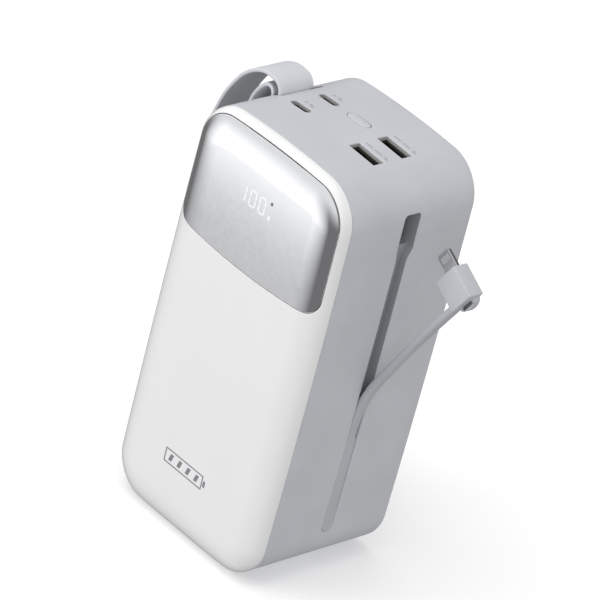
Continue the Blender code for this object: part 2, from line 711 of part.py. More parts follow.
def fixed_run():
    """The length held in the channel, with a tail that turns in through the case to a clamp."""
    inner = CABLE_X - CABLE_THICKNESS / 2
    outer = CABLE_X + CABLE_THICKNESS / 2
    half = CABLE_WIDTH / 2
    low = CHANNEL_BOTTOM + 0.0019
    tail_top = low + TAIL_THICKNESS
    top = CABLE_RUN_TOP + CABLE_HINGES[0] - LINK_GAP / 2
    ell = [(TAIL_X, low), (outer, low), (outer, top), (inner, top), (inner, tail_top), (TAIL_X, tail_top)]
    run = prism("cable_fixed_run", ell, "Y", CHANNEL_Y - half, CHANNEL_Y + half, "soft_grey")
    trims = []
    for i, side in enumerate((-1, 1)):
        y = CHANNEL_Y + side * (half + 0.0006)
        trim_low = (TAIL_X - 0.001, y - 0.001, low - 0.002)
        trims.append(box(f"tail_trim_{i + 1}", trim_low, (inner - 0.0001, y + 0.001, low + 0.006)))
    boolean(run, "DIFFERENCE", trims)
    clamp_low = (CLAMP_X[0], CHANNEL_Y - 0.0045, low - 0.0015)
    clamp = box("cable_clamp", clamp_low, (CLAMP_X[1], CHANNEL_Y + 0.0045, low + 0.0045), "dark_plastic")
    passage_low = (CLAMP_X[0] - 0.001, CHANNEL_Y - half - GAP, low - GAP)
    passage_high = (CLAMP_X[1] + 0.001, CHANNEL_Y + half + GAP, tail_top + GAP)
    boolean(clamp, "DIFFERENCE", [box("clamp_passage", passage_low, passage_high)])


def cable():
    """The fixed run, then a chain of hinged links."""
    fixed_run()
    half = CABLE_WIDTH / 2
    reach = CABLE_THICKNESS / 2
    ends = (*CABLE_HINGES[1:], CABLE_LENGTH)
    for i, ((x, z, lean), start, end) in enumerate(zip(cable_stations(), CABLE_HINGES, ends)):
        link_low = (-reach, -half, LINK_GAP / 2)
        link = box(f"cable_link_{i + 1}", link_low, (reach, half, end - start - LINK_GAP / 2), "soft_grey")
        link.location = (x, CHANNEL_Y, z)
        link.rotation_euler = (0, lean, 0)


def place_on_cable_end(obj):
    x, z, lean = cable_stations()[-1]
    obj.location = (x, SEAT_Y, z)
    obj.rotation_euler = (0, lean, 0)
    return obj


def thumb_tab():
    """A half ellipse on the head's outer end."""
    middle = HEAD_UP / 2
    outline = [(HEAD_OUT - 0.001, 0.0008), (HEAD_OUT - 0.001, HEAD_UP - 0.0008)]
    for x, z in arc((HEAD_OUT, middle), THUMB_TAB, 90, -90, 6):
        outline.append((x, middle + (z - middle) * (1.0 if x < HEAD_OUT else 2.0)))
    return place_on_cable_end(prism("thumb_tab", outline, "Y", 0.0004, HEAD_THROUGH / 2 - 0.0006))


def connector_head():
    """The moulded head, drawn upright with +X away from the case, then set on the cable's end."""
    half = HEAD_THROUGH / 2
    head = box("connector_head", (-HEAD_IN, -half, 0.0), (HEAD_OUT, half, HEAD_UP), "soft_grey")
    bevel(place_on_cable_end(head), 0.0010)
    boolean(head, "UNION", [thumb_tab()])
    notch = [(y, z) for z, y in stadium((HEAD_UP / 2, -0.0012), (0.0062, 0.0022))]
    recess = prism("finger_recess", notch, "X", HEAD_OUT - 0.0009, HEAD_OUT + 0.001)
    long_side, thin, _ = PLUG_SIZE
    socket = box(
        "plug_socket",
        (-HEAD_IN - 0.001, -thin / 2 - GAP, PLUG_UP - long_side / 2 - GAP),
        (-HEAD_IN + PLUG_SEATED + GAP, thin / 2 + GAP, PLUG_UP + long_side / 2 + GAP),
    )
    boolean(head, "DIFFERENCE", [place_on_cable_end(recess), place_on_cable_end(socket)])


def plug():
    """A flat metal tongue with a window through it that holds the contacts."""
    long_side, thin, reach = PLUG_SIZE
    tip = -HEAD_IN - reach
    centre = ((tip - HEAD_IN + PLUG_SEATED) / 2, PLUG_UP)
    outline = rounded_rectangle(centre, (reach + PLUG_SEATED, long_side), 0.0009, 3)
    tongue = place_on_cable_end(prism("plug_tongue", outline, "Y", -thin / 2, thin / 2, "bright_metal"))
    contacts = (tip + 0.0026, PLUG_UP)
    opening = rounded_rectangle(contacts, (0.0028, 0.0050), 0.0007, 2)
    window = prism("contact_window", opening, "Y", -0.002, 0.002)
    boolean(tongue, "DIFFERENCE", [place_on_cable_end(window)])
    insert = rounded_rectangle(contacts, (0.0025, 0.0047), 0.0006, 2)
    depth = thin / 2 - 0.0001
    place_on_cable_end(prism("contact_insert", insert, "Y", -depth, depth, "dark_plastic"))


# --- Strap ------------------------------------------------------------------------------------------


def strap_root():
    """Both layers of the strap, from the pin inside the case up through the top and round to the left."""
    bend = (STRAP_ROOT_X - STRAP_LAYER - 0.0009, STRAP_TURN_Z)
    inner, outer = 0.0009, 0.0009 + 2 * STRAP_LAYER
    low = STRAP_PIN_Z - 0.0030
    side = [(STRAP_ROOT_X - STRAP_LAYER, low), (STRAP_ROOT_X + STRAP_LAYER, low)]
    outline = side + arc(bend, outer, 0, 90, 6) + arc(bend, inner, 90, 0, 3)
    half = STRAP_WIDTH / 2
    root = prism("strap_root", outline, "Y", STRAP_Y - half, STRAP_Y + half, "soft_grey")
    reach = half + 0.0030
    ends = [(STRAP_ROOT_X, STRAP_Y + side * reach, STRAP_PIN_Z) for side in (-1, 1)]
    boolean(root, "DIFFERENCE", [cylinder("root_bore", *ends, STRAP_PIN_RADIUS + GAP)])
    cylinder("strap_pin", *ends, STRAP_PIN_RADIUS, "bright_metal", 12)


def strap_loop():
    """The closed loop, hanging down the left side from a round nose at its pivot."""
    outer_leg = [(-0.0375, 0.1625), (-0.0435, 0.1592), (-0.0495, 0.1516), (-0.0545, 0.1405)]
    outer_leg += [(-0.0574, 0.1280), (-0.0578, 0.1170), (-0.0568, 0.1020), (-0.0546, 0.0840)]
    outer_leg += [(-0.0526, 0.0730), (-0.0486, 0.0672)]
    inner_leg = [(-0.0446, 0.0730), (-0.0408, 0.0840), (-0.0399, 0.1020), (-0.0395, 0.1200)]
    inner_leg += [(-0.0393, 0.1380), (-0.0391, 0.1470), (-0.0380, 0.1522), (-0.0366, 0.1562)]
    nose = arc(STRAP_PIVOT, STRAP_LAYER, -80, 80, 6)
    outline = smooth_path(outer_leg + inner_leg, 2) + nose
    outer_hole = [(-0.0390, 0.1592), (-0.0426, 0.1572), (-0.0479, 0.1503), (-0.0525, 0.1397)]
    outer_hole += [(-0.0553, 0.1277), (-0.0557, 0.1170), (-0.0547, 0.1022), (-0.0525, 0.0843)]
    outer_hole += [(-0.0506, 0.0745), (-0.0486, 0.0700)]
    inner_hole = [(-0.0462, 0.0745), (-0.0429, 0.0840), (-0.0420, 0.1020), (-0.0416, 0.1200)]
    inner_hole += [(-0.0414, 0.1380), (-0.0412, 0.1473), (-0.0402, 0.1526), (-0.0389, 0.1566)]
    half = STRAP_WIDTH / 2
    loop = prism("strap_loop", outline, "Y", STRAP_Y - half, STRAP_Y + half, "soft_grey")
    opening = smooth_path(outer_hole + inner_hole, 2)
    hole = prism("loop_opening", opening, "Y", STRAP_Y - half - 0.001, STRAP_Y + half + 0.001)
    boolean(loop, "DIFFERENCE", [hole])


rear_housing()
front_cover()
display_window()
for port_name, port_x, port_y in port_places():
    port_receptacle(port_name, port_x, port_y)
power_button()
tact_switch()
main_board()
port_board()
battery()
cable()
connector_head()
plug()
strap_root()
strap_loop()
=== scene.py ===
"""Looks for the power bank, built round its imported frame.

The case, front, window, button, cable, plug and strap are new pieces that stand for their CAD nodes.
The parts inside keep their CAD shape and get procedural finishes. Metres, +Z up, front towards -Y.
"""

import json
import math

import bmesh
import bpy
from mathutils import Matrix, Vector


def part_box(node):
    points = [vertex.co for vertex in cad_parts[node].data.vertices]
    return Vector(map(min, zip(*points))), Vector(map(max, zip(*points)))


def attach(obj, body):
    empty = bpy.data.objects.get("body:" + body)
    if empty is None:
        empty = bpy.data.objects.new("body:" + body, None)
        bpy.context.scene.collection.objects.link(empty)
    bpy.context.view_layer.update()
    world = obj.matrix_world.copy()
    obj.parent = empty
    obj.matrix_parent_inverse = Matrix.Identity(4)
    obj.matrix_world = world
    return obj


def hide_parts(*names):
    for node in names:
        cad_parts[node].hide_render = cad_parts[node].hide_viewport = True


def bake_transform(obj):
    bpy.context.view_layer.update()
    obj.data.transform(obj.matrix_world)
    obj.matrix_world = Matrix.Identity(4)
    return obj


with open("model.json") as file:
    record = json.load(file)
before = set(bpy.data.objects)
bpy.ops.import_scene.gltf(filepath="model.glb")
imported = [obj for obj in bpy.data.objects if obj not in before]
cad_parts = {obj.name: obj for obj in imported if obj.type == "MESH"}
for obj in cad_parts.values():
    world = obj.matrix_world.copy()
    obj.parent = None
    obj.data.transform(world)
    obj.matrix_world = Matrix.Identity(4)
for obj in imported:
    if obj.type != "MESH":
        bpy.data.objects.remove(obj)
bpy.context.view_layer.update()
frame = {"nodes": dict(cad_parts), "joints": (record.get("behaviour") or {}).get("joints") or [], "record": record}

# Case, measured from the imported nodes.
HOUSING_LOW, HOUSING_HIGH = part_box("rear_housing")
COVER_LOW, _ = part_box("front_cover")
HALF_WIDTH = (HOUSING_HIGH.x - HOUSING_LOW.x) / 2
HALF_HEIGHT = (HOUSING_HIGH.z - HOUSING_LOW.z) / 2
SEAM_Y = HOUSING_LOW.y - 0.00015
BACK_Y = HOUSING_HIGH.y
FRONT_Y = COVER_LOW.y
CORNER_RADIUS = 0.0151
TOP_CROWN = 0.00215
SIDE_CROWN = 0.00084
BASE_FLAT = 0.0140
WALL = 0.0024
BACK_EDGE = 0.0014
GAP = 0.0003
CORNER_STEPS = 20

# Domed front and the window let into it.
DOME_REACH = 0.0136
DOME_POWER = 2.75
DOME_DEPTH = SEAM_Y - GAP / 2 - FRONT_Y
DOME_STEPS = 26
COVER_THICKNESS = 0.0030
WINDOW_INSET = 0.0021
WINDOW_BOTTOM = 0.1090
WINDOW_RISE = 0.0030
WINDOW_CORNER = 0.0065
WINDOW_GAP = 0.00025
WINDOW_RECESS = 0.0015
WINDOW_THICKNESS = 0.0012
WINDOW_STEPS = 30
CORNERS_FROM = 0.1440


# --- Mesh helpers ---


def add_piece(name, bm, finish, smooth=35):
    """A mesh object made from bm, with one or more materials and smooth shading between sharp edges."""
    bmesh.ops.recalc_face_normals(bm, faces=bm.faces)
    mesh = bpy.data.meshes.new(name)
    bm.to_mesh(mesh)
    bm.free()
    for material in finish if isinstance(finish, (list, tuple)) else [finish]:
        mesh.materials.append(material)
    obj = bpy.data.objects.new(name, mesh)
    bpy.context.scene.collection.objects.link(obj)
    shade(obj, smooth)
    return obj


def shade(obj, smooth):
    obj.data.shade_smooth()
    obj.data.set_sharp_from_angle(angle=math.radians(smooth))


def paint_shade_on_faces(obj, finish, inside):
    """Gives a second, darker finish, as painted shade, to the faces whose centres pass the test."""
    obj.data.materials.append(finish)
    index = len(obj.data.materials) - 1
    for face in obj.data.polygons:
        if inside(face.center):
            face.material_index = index


def stand_for(obj, body, slot, *nodes):
    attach(obj, body)
    if nodes:
        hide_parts(*nodes)


def combine(obj, operation, others, smooth=35):
    """Joins or cuts obj with the others, applies the result, and removes the others."""
    for other in others:
        modifier = obj.modifiers.new(other.name, "BOOLEAN")
        modifier.operation = operation
        modifier.object = other
        modifier.solver = "EXACT"
    graph = bpy.context.evaluated_depsgraph_get()
    result = bpy.data.meshes.new_from_object(obj.evaluated_get(graph))
    materials = list(obj.data.materials)
    obj.modifiers.clear()
    obj.data = result
    obj.data.materials.clear()
    for material in materials:
        obj.data.materials.append(material)
    for other in others:
        bpy.data.objects.remove(other, do_unlink=True)
    shade(obj, smooth)


def bridge(bm, near, far):
    """Adds the faces between two loops that have the same number of points."""
    next_near, next_far = near[1:] + near[:1], far[1:] + far[:1]
    return [bm.faces.new(corners) for corners in zip(near, next_near, next_far, far)]


def add_body(bm, rings):
    """Adds a closed body through rings of points, its first and last ring filled."""
    loops = [[bm.verts.new(point) for point in ring] for ring in rings]
    for near, far in zip(loops, loops[1:]):
        bridge(bm, near, far)
    bm.faces.new(loops[0])
    bm.faces.new(loops[-1])


def loft(name, rings, finish=None, smooth=35):
    bm = bmesh.new()
    add_body(bm, rings)
    return add_piece(name, bm, finish, smooth)


def block(name, low, high, finish=None, edge=0.0):
    bm = bmesh.new()
    size = Vector(high) - Vector(low)
    centre = (Vector(high) + Vector(low)) / 2
    bmesh.ops.create_cube(bm, size=1.0, matrix=Matrix.Translation(centre) @ Matrix.Diagonal((*size, 1.0)))
    if edge:
        bmesh.ops.bevel(bm, geom=bm.edges[:], offset=edge, segments=4, profile=0.5, affect="EDGES")
    return add_piece(name, bm, finish)


def prism(name, outline, near, far, finish=None):
    """An outline of (x, z) points carried along Y from near to far."""
    return loft(name, [[(x, y, z) for x, z in outline] for y in (near, far)], finish)


def arc(centre, radius, start_deg, end_deg, steps):
    angles = [math.radians(start_deg + (end_deg - start_deg) * i / steps) for i in range(steps + 1)]
    return [(centre[0] + radius * math.cos(a), centre[1] + radius * math.sin(a)) for a in angles]


def rounded_rectangle(centre, size, radius, steps=8):
    half = (size[0] / 2 - radius, size[1] / 2 - radius)
    points = []
    for turn, (sx, sy) in enumerate(((1, 1), (-1, 1), (-1, -1), (1, -1))):
        corner = (centre[0] + sx * half[0], centre[1] + sy * half[1])
        points += arc(corner, radius, 90 * turn, 90 * turn + 90, steps)
    return points


def stadium(centre, size, steps=14):
    return rounded_rectangle(centre, size, min(size) / 2 - 1e-6, steps)


def between(start, end, count):
    """Values from start towards end, leaving out the end."""
    return [start + (end - start) * i / count for i in range(count)]


# --- The case's outline and surface ---


def crowned(x, z):
    """The case's outline bows slightly on every side but for a flat patch on its base."""
    up = z - HALF_HEIGHT
    side = abs(up) / HALF_HEIGHT
    across = abs(x) / HALF_WIDTH
    if up < 0:
        across = max(0.0, abs(x) - BASE_FLAT) / (HALF_WIDTH - BASE_FLAT)
    drop = TOP_CROWN * across**2 * side**4
    pinch = SIDE_CROWN * side**2 * (abs(x) / HALF_WIDTH) ** 4
    return x - math.copysign(pinch, x), z - math.copysign(drop, up)


def top_z(x):
    return 2 * HALF_HEIGHT - TOP_CROWN * (x / HALF_WIDTH) ** 2


def side_x(z):
    return HALF_WIDTH - SIDE_CROWN * ((z - HALF_HEIGHT) / HALF_HEIGHT) ** 2


def closed_outline(points, inset, steps):
    """Carries the right half of an outline round its top corner to the middle, and mirrors and bows it."""
    flat = HALF_WIDTH - CORNER_RADIUS
    points += arc((flat, HALF_HEIGHT - CORNER_RADIUS), CORNER_RADIUS - inset, 0, 90, CORNER_STEPS)
    points += [(x, HALF_HEIGHT - inset) for x in [*between(flat, 0.0, steps)[1:], 0.0]]
    points += [(-x, z) for x, z in points[-2:0:-1]]
    return [crowned(x, z + HALF_HEIGHT) for x, z in points]


def case_outline(inset):
    """The outline seen along Y, moved in by inset, from the middle of the base round by +X."""
    flat = HALF_WIDTH - CORNER_RADIUS
    tall = HALF_HEIGHT - CORNER_RADIUS
    points = [(x, inset - HALF_HEIGHT) for x in between(0.0, flat, 8)]
    points += arc((flat, -tall), CORNER_RADIUS - inset, -90, 0, CORNER_STEPS)
    points += [(HALF_WIDTH - inset, z) for z in between(-tall, tall, 26)[1:]]
    return closed_outline(points, inset, 8)


def case_inset(x, z):
    """How far a point of the front lies inside the case's outline."""
    flat_x, flat_z = x, z
    for _ in range(4):
        bowed_x, bowed_z = crowned(flat_x, flat_z)
        flat_x += x - bowed_x
        flat_z += z - bowed_z
    across = abs(flat_x)
    up = abs(flat_z - HALF_HEIGHT)
    corner = (HALF_WIDTH - CORNER_RADIUS, HALF_HEIGHT - CORNER_RADIUS)
    if across > corner[0] and up > corner[1]:
        return CORNER_RADIUS - math.hypot(across - corner[0], up - corner[1])
    return min(HALF_WIDTH - across, HALF_HEIGHT - up)


def dome_y(x, z):
    """The domed front's surface: steep at the seam, then easing off slowly to the flat middle."""
    share = min(1.0, max(0.0, case_inset(x, z) / DOME_REACH))
    return SEAM_Y - GAP / 2 - DOME_DEPTH * math.sqrt(1 - (1 - share) ** DOME_POWER)


def dome_rings(offset, steps):
    """Rings from the seam to the flat front, of the dome's surface moved inwards by offset."""
    rings = []
    for i in range(steps + 1):
        angle = math.radians(90 * i / steps)
        fall = max(0.0, math.cos(angle))
        out = 2 / DOME_POWER * DOME_REACH * math.sin(angle)
        across = DOME_DEPTH * fall ** (2 - 2 / DOME_POWER)
        length = math.hypot(across, out)
        inset = DOME_REACH * (1 - fall ** (2 / DOME_POWER)) + offset * across / length
        y = SEAM_Y - GAP / 2 - DOME_DEPTH * math.sin(angle) + offset * out / length
        rings.append([(x, y, z) for x, z in case_outline(inset)])
    return rings


def window_edge(x, inset):
    """The window's lower edge, which rises towards the sides. Heights are from the case's middle."""
    return WINDOW_BOTTOM + inset - WINDOW_INSET - HALF_HEIGHT + WINDOW_RISE * (x / HALF_WIDTH) ** 2


def window_ring(inset):
    """The window's outline at an inset from the case's, with round corners on its curved lower edge."""
    side = HALF_WIDTH - inset
    tall = HALF_HEIGHT - CORNER_RADIUS
    lower = max(0.0004, WINDOW_CORNER + WINDOW_INSET - inset)
    lean = math.atan(2 * WINDOW_RISE * (side - lower) / HALF_WIDTH**2)
    start = side - lower + lower * math.sin(lean)
    height = window_edge(start, inset) + lower * math.cos(lean)
    points = [(x, window_edge(x, inset)) for x in between(0.0, start, 16)]
    points += arc((side - lower, height), lower, math.degrees(lean) - 90, 0, 14)
    points += [(side, z) for z in between(height, tall, 10)[1:]]
    return closed_outline(points, inset, 12)


def window_layer(inset, offset):
    """Rings over the window's area at an offset inwards from the dome, from its edge to the flat middle."""
    rings = []
    for i in range(WINDOW_STEPS + 1):
        share = (i / WINDOW_STEPS) ** 1.4
        ring = window_ring(inset + (DOME_REACH + 0.0003 - inset) * share)
        rings.append([(x, dome_y(x, z) + offset, z) for x, z in ring])
    return rings


# --- Materials ---


def new_material(name):
    """A material, its node tree and shader, and the object coordinates its patterns lie in."""
    material = bpy.data.materials.new(name)
    material.use_nodes = True
    tree = material.node_tree
    place = tree.nodes.new("ShaderNodeTexCoord").outputs["Object"]
    return material, tree, tree.nodes["Principled BSDF"], place


def feed(tree, node, inputs):
    """Sets each named input to a value, or links it to another node's output."""
    for key, value in inputs.items():
        if isinstance(value, bpy.types.NodeSocket):
            tree.links.new(value, node.inputs[key])
        else:
            node.inputs[key].default_value = value


def add_node(tree, kind, inputs, **settings):
    node = tree.nodes.new(f"ShaderNode{kind}")
    for setting, value in settings.items():
        setattr(node, setting, value)
    feed(tree, node, inputs)
    return node


def noise(tree, place, scale, detail=4.0, roughness=0.55):
    inputs = {"Vector": place, "Scale": scale, "Detail": detail, "Roughness": roughness}
    return add_node(tree, "TexNoise", inputs).outputs["Fac"]


def ramp(tree, source, darker, lighter, start=0.3, end=0.7):
    """A colour that runs between two shades."""
    node = add_node(tree, "ValToRGB", {"Fac": source})
    for element, position, colour in zip(node.color_ramp.elements, (start, end), (darker, lighter)):
        element.position = position
        element.color = (*colour, 1.0)
    return node.outputs["Color"]


def remap(tree, source, low, high, from_low=0.3, from_high=0.7):
    inputs = {"Value": source, "From Min": from_low, "From Max": from_high, "To Min": low, "To Max": high}
    return add_node(tree, "MapRange", inputs).outputs["Result"]


def bump(tree, height, strength, distance):
    inputs = {"Height": height, "Strength": strength, "Distance": distance}
    return add_node(tree, "Bump", inputs).outputs["Normal"]


def scaled(colour, share):
    return tuple(min(1.0, c * share) for c in colour)


def moulded(name, colour, roughness, grain=4200.0, depth=0.000012, vary=0.03, coat=0.0, spread=0.05):
    """Moulded plastic: a fine even grain, slight shade and gloss variation, and an optional clear coat."""
    material, tree, shader, place = new_material(name)
    cloud = noise(tree, place, 55.0, 3.0)
    patch = noise(tree, place, 420.0, 5.0, 0.65)
    inputs = {
        "Base Color": ramp(tree, cloud, scaled(colour, 1 - vary), scaled(colour, 1 + vary)),
        "Roughness": remap(tree, patch, roughness - spread, roughness + spread),
        "Normal": bump(tree, noise(tree, place, grain, 2.0, 0.5), 0.5, depth),
        "Specular IOR Level": 0.5,
        "Coat Weight": coat,
        "Coat Roughness": 0.06,
    }
    feed(tree, shader, inputs)
    return material


def metal(name, colour, roughness, stretch=(1.0, 1.0, 18.0), vary=0.08, metallic=1.0):
    """Plated or rolled metal with faint drawn lines along one axis."""
    material, tree, shader, place = new_material(name)
    mapping = add_node(tree, "Mapping", {"Scale": tuple(1.0 / s for s in stretch), "Vector": place})
    lines = noise(tree, mapping.outputs["Vector"], 5200.0, 3.0, 0.6)
    inputs = {
        "Base Color": ramp(tree, lines, scaled(colour, 1 - vary), colour),
        "Roughness": remap(tree, lines, roughness * 0.7, roughness * 1.3),
        "Normal": bump(tree, lines, 0.25, 0.00001),
        "Metallic": metallic,
    }
    feed(tree, shader, inputs)
    return material


def window_mirror():
    """Mirror-coated glass with the faintest haze."""
    material, tree, shader, place = new_material("window_mirror")
    haze = noise(tree, place, 90.0, 4.0)
    smear = noise(tree, place, 700.0, 5.0, 0.7)
    inputs = {
        "Base Color": ramp(tree, haze, (0.885, 0.892, 0.915), (0.905, 0.912, 0.935)),
        "Roughness": remap(tree, smear, 0.045, 0.075),
        "Metallic": 1.0,
        "Coat Weight": 0.4,
        "Coat Roughness": 0.03,
    }
    feed(tree, shader, inputs)
    return material


def lit_digit():
    material, tree, shader, place = new_material("lit_digit")
    glow = noise(tree, place, 900.0, 2.0)
    inputs = {
        "Emission Color": ramp(tree, glow, (0.93, 0.96, 1.0), (1.0, 1.0, 1.0), 0.2, 0.8),
        "Base Color": ramp(tree, glow, (0.10, 0.10, 0.11), (0.13, 0.13, 0.14), 0.2, 0.8),
        "Emission Strength": 0.84,
        "Roughness": 0.4,
    }
    feed(tree, shader, inputs)
    return material


def circuit_board():
    """Green solder mask over copper traces."""
    material, tree, shader, place = new_material("circuit_board")
    inputs = {
        "Vector": place,
        "Scale": 160.0,
        "Mortar Size": 0.04,
        "Color1": (0.010, 0.085, 0.045, 1.0),
        "Color2": (0.014, 0.110, 0.060, 1.0),
        "Mortar": (0.040, 0.180, 0.090, 1.0),
    }
    traces = add_node(tree, "TexBrick", inputs)
    inputs = {
        "Base Color": traces.outputs["Color"],
        "Normal": bump(tree, traces.outputs["Fac"], 0.4, 0.00004),
        "Roughness": remap(tree, noise(tree, place, 600.0), 0.30, 0.42),
    }
    feed(tree, shader, inputs)
    return material


def foam():
    material, tree, shader, place = new_material("foam_pad")
    cells = add_node(tree, "TexVoronoi", {"Vector": place, "Scale": 1800.0}).outputs["Distance"]
    inputs = {
        "Base Color": ramp(tree, cells, (0.03, 0.03, 0.03), (0.09, 0.09, 0.10), 0.0, 0.7),
        "Normal": bump(tree, cells, 0.7, 0.0001),
        "Roughness": 0.95,
    }
    feed(tree, shader, inputs)
    return material


def cell_foil():
    """Crinkled aluminium pouch."""
    material, tree, shader, place = new_material("cell_foil")
    crinkle = noise(tree, place, 220.0, 6.0, 0.6)
    inputs = {
        "Base Color": ramp(tree, crinkle, (0.55, 0.56, 0.58), (0.72, 0.73, 0.74)),
        "Normal": bump(tree, crinkle, 0.6, 0.0002),
        "Roughness": remap(tree, crinkle, 0.28, 0.42),
        "Metallic": 0.9,
    }
    feed(tree, shader, inputs)
    return material


CASE_GREY = moulded("case_grey", (0.545, 0.558, 0.592), 0.42)
COVER_WHITE = moulded("cover_white", (0.820, 0.822, 0.826), 0.22, 2600.0, 0.000003, 0.008, 0.5, 0.03)
MIRROR = window_mirror()
BUTTON_GREY = moulded("button_grey", (0.555, 0.568, 0.602), 0.36, 5200.0, 0.000008)
STRAP = moulded("strap_silicone", (0.600, 0.612, 0.645), 0.58, 3600.0, 0.000020)
# Painted shade: a darker grey of the same silicone for the band's inner face.
STRAP_PAINTED_SHADE = moulded("strap_lining", (0.440, 0.445, 0.462), 0.60, 3600.0, 0.000020, 0.06)
CABLE = moulded("cable_jacket", (0.465, 0.475, 0.505), 0.50, 5200.0, 0.000014)
CONNECTOR = moulded("connector_grey", (0.500, 0.515, 0.550), 0.40, 5200.0, 0.000010)
STEEL = metal("plated_steel", (0.60, 0.60, 0.62), 0.26)
# Black plastic of the CAD parts, also used as painted shade on the walls of the plug's socket.
BLACK_AND_SHADE = moulded("black_plastic", (0.022, 0.022, 0.025), 0.45, 3600.0, 0.00001, 0.1)
# Dark print for the display's dot, also used as painted shade on the walls of the top openings and the window's
# recess.
PRINT_AND_SHADE_DARK = moulded("print_dark", (0.120, 0.125, 0.140), 0.50, 4000.0, 0.000002, 0.05)
# Mid grey print for the battery mark, also used as painted shade in the thumb tab's finger recess.
PRINT_AND_SHADE_MID = moulded("print_mid", (0.215, 0.222, 0.240), 0.50, 4000.0, 0.000002, 0.05)
PRINT_PALE = moulded("print_pale", (0.390, 0.400, 0.425), 0.50, 4000.0, 0.000002, 0.05)
# Painted shade: a darker grey for the walls and floor of the cable channel, the seat and the slot.
CHANNEL_PAINTED_SHADE = moulded("channel_grey", (0.330, 0.338, 0.362), 0.50, 4200.0, 0.000012)
PORT_METAL = metal("port_metal", (0.560, 0.552, 0.550), 0.55, (1.0, 1.0, 1.0), 0.40, 0.0)
# Painted shade: a near-black brown for the deep part of each port's mouth.
PORT_PAINTED_SHADE = moulded("port_deep", (0.060, 0.054, 0.052), 0.50, 3600.0, 0.00001, 0.25)
CONTACT_GREY = moulded("contact_grey", (0.400, 0.405, 0.420), 0.42, 5200.0, 0.000005)
DIGITS = lit_digit()

# The finish of each material slot in the record.
FINISHES = {
    "case_grey": CASE_GREY,
    "cover_white": COVER_WHITE,
    "mirror_window": MIRROR,
    "button_grey": BUTTON_GREY,
    "strap_silicone": STRAP,
    "cable_jacket": CABLE,
    "connector_grey": CONNECTOR,
    "plated_steel": STEEL,
    "black_plastic": BLACK_AND_SHADE,
    "circuit_board": circuit_board(),
    "cell_foil": cell_foil(),
    "foam_pad": foam(),
    "natural_plastic": moulded("natural_plastic", (0.70, 0.69, 0.64), 0.50, 2400.0, 0.00002, 0.04),
    "screw_steel": metal("screw_steel", (0.56, 0.56, 0.57), 0.32, (1.0, 1.0, 1.0), 0.12),
    "nickel_strip": metal("nickel_strip", (0.66, 0.64, 0.60), 0.30, (1.0, 16.0, 1.0)),
    "capacitor_can": metal("capacitor_can", (0.70, 0.70, 0.71), 0.30, (1.0, 12.0, 1.0)),
}


def finish_cad_nodes():
    """Every CAD node gets the procedural finish of its slot in the record."""
    for part in frame["record"]["subparts"]:
        node = frame["nodes"][part["node"]]
        for material_slot in node.material_slots:
            material_slot.material = FINISHES[part["material_slot"]]


# --- Case ---

PORTS = ("usb_a_front", "usb_a_rear", "usb_c_front", "usb_c_rear")
SHELL_WALL = 0.0004
MOUTH_EDGE = 0.00022
MOUTH_OUT = 0.002
LINER_DROPS = (0.00024, 0.00150, 0.00265)
LINER_INSETS = (0.00003, 0.00020)
# The liner wall that is painted black as shade deep in the port's mouth.
LINER_SHADED_WALL = 3  # the fourth wall counted from the outside, low on the inner face
BUTTON_SIZE = (0.0103, 0.0039)
BUTTON_GAP = 0.00020
BUTTON_EDGE = 0.0001
BUTTON_MARGIN = 0.00045
BUTTON_PROUD = 0.00028
STEM_RADIUS = 0.0013
# The button cap's rim as (inset, drop), from its skirt up to its face.
CAP_PROFILE = (
    (0.0, 0.0035),
    (0.0, 0.00032),
    (0.00006, 0.00018),
    (0.00018, 0.00007),
    (0.0004, 0.00002),
    (0.0012, 0.0),
)
STRAP_ROOT = (-0.0291, 0.0026)
STRAP_OPENING = (0.0045, 0.0161)
OPENING_CORNER = 0.0008
OPENING_EDGE = 0.00012
OPENING_FLOOR = 0.1500
OPENING_MARGIN = 0.0002
TOP_CUT_DEPTH = 0.012


def middle(node):
    low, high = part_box(node)
    return (low + high) / 2, high - low


def port_outline(name, grow):
    centre, size = middle(f"{name}_shell")
    wide = size.x - 2 * SHELL_WALL + 2 * grow
    deep = size.y - 2 * SHELL_WALL + 2 * grow
    if name.startswith("usb_a"):
        return rounded_rectangle((centre.x, centre.y), (wide, deep), 0.0004 + grow, 6)
    return stadium((centre.x, centre.y), (wide, deep))


def on_top(x, y, drop):
    return x, y, top_z(x) - drop


def on_side(y, z, drop):
    return side_x(z) - drop, y, z


def on_front(x, z, drop):
    return x, FRONT_Y + drop, z


def mouth(name, outline_at, place, floor_at, edge=MOUTH_EDGE):
    """A cutter for a hollow, whose rim is chamfered along the surface that place follows."""
    straight = outline_at(0.0)
    wide = outline_at(2 * edge)
    rings = [[floor_at(*point) for point in straight]]
    for outline, drop in ((straight, edge), (wide, -edge), (wide, -MOUTH_OUT)):
        rings.append([place(*point, drop) for point in outline])
    return loft(f"{name}_cut", rings)


def port_liners():
    """A sleeve in each port's mouth: roughened metal above, and black below as painted shade."""
    for name in PORTS:
        outer, inner = (port_outline(name, -inset) for inset in LINER_INSETS)
        rings = [(outer, LINER_DROPS[-1]), (outer, LINER_DROPS[0])]
        rings += [(inner, drop) for drop in LINER_DROPS]
        bm = bmesh.new()
        loops = [[bm.verts.new(on_top(*point, drop)) for point in outline] for outline, drop in rings]
        for k, (near, far) in enumerate(zip(loops, loops[1:] + loops[:1])):
            for face in bridge(bm, near, far):
                face.material_index = int(k == LINER_SHADED_WALL)
        stand_for(add_piece(f"{name}_liner", bm, [PORT_METAL, PORT_PAINTED_SHADE]), "case", "plated_steel")


def button_outline(grow):
    centre, _ = middle("power_button")
    wide, deep = (side + 2 * BUTTON_GAP + grow for side in BUTTON_SIZE)
    return stadium((centre.x, centre.y), (wide, deep))


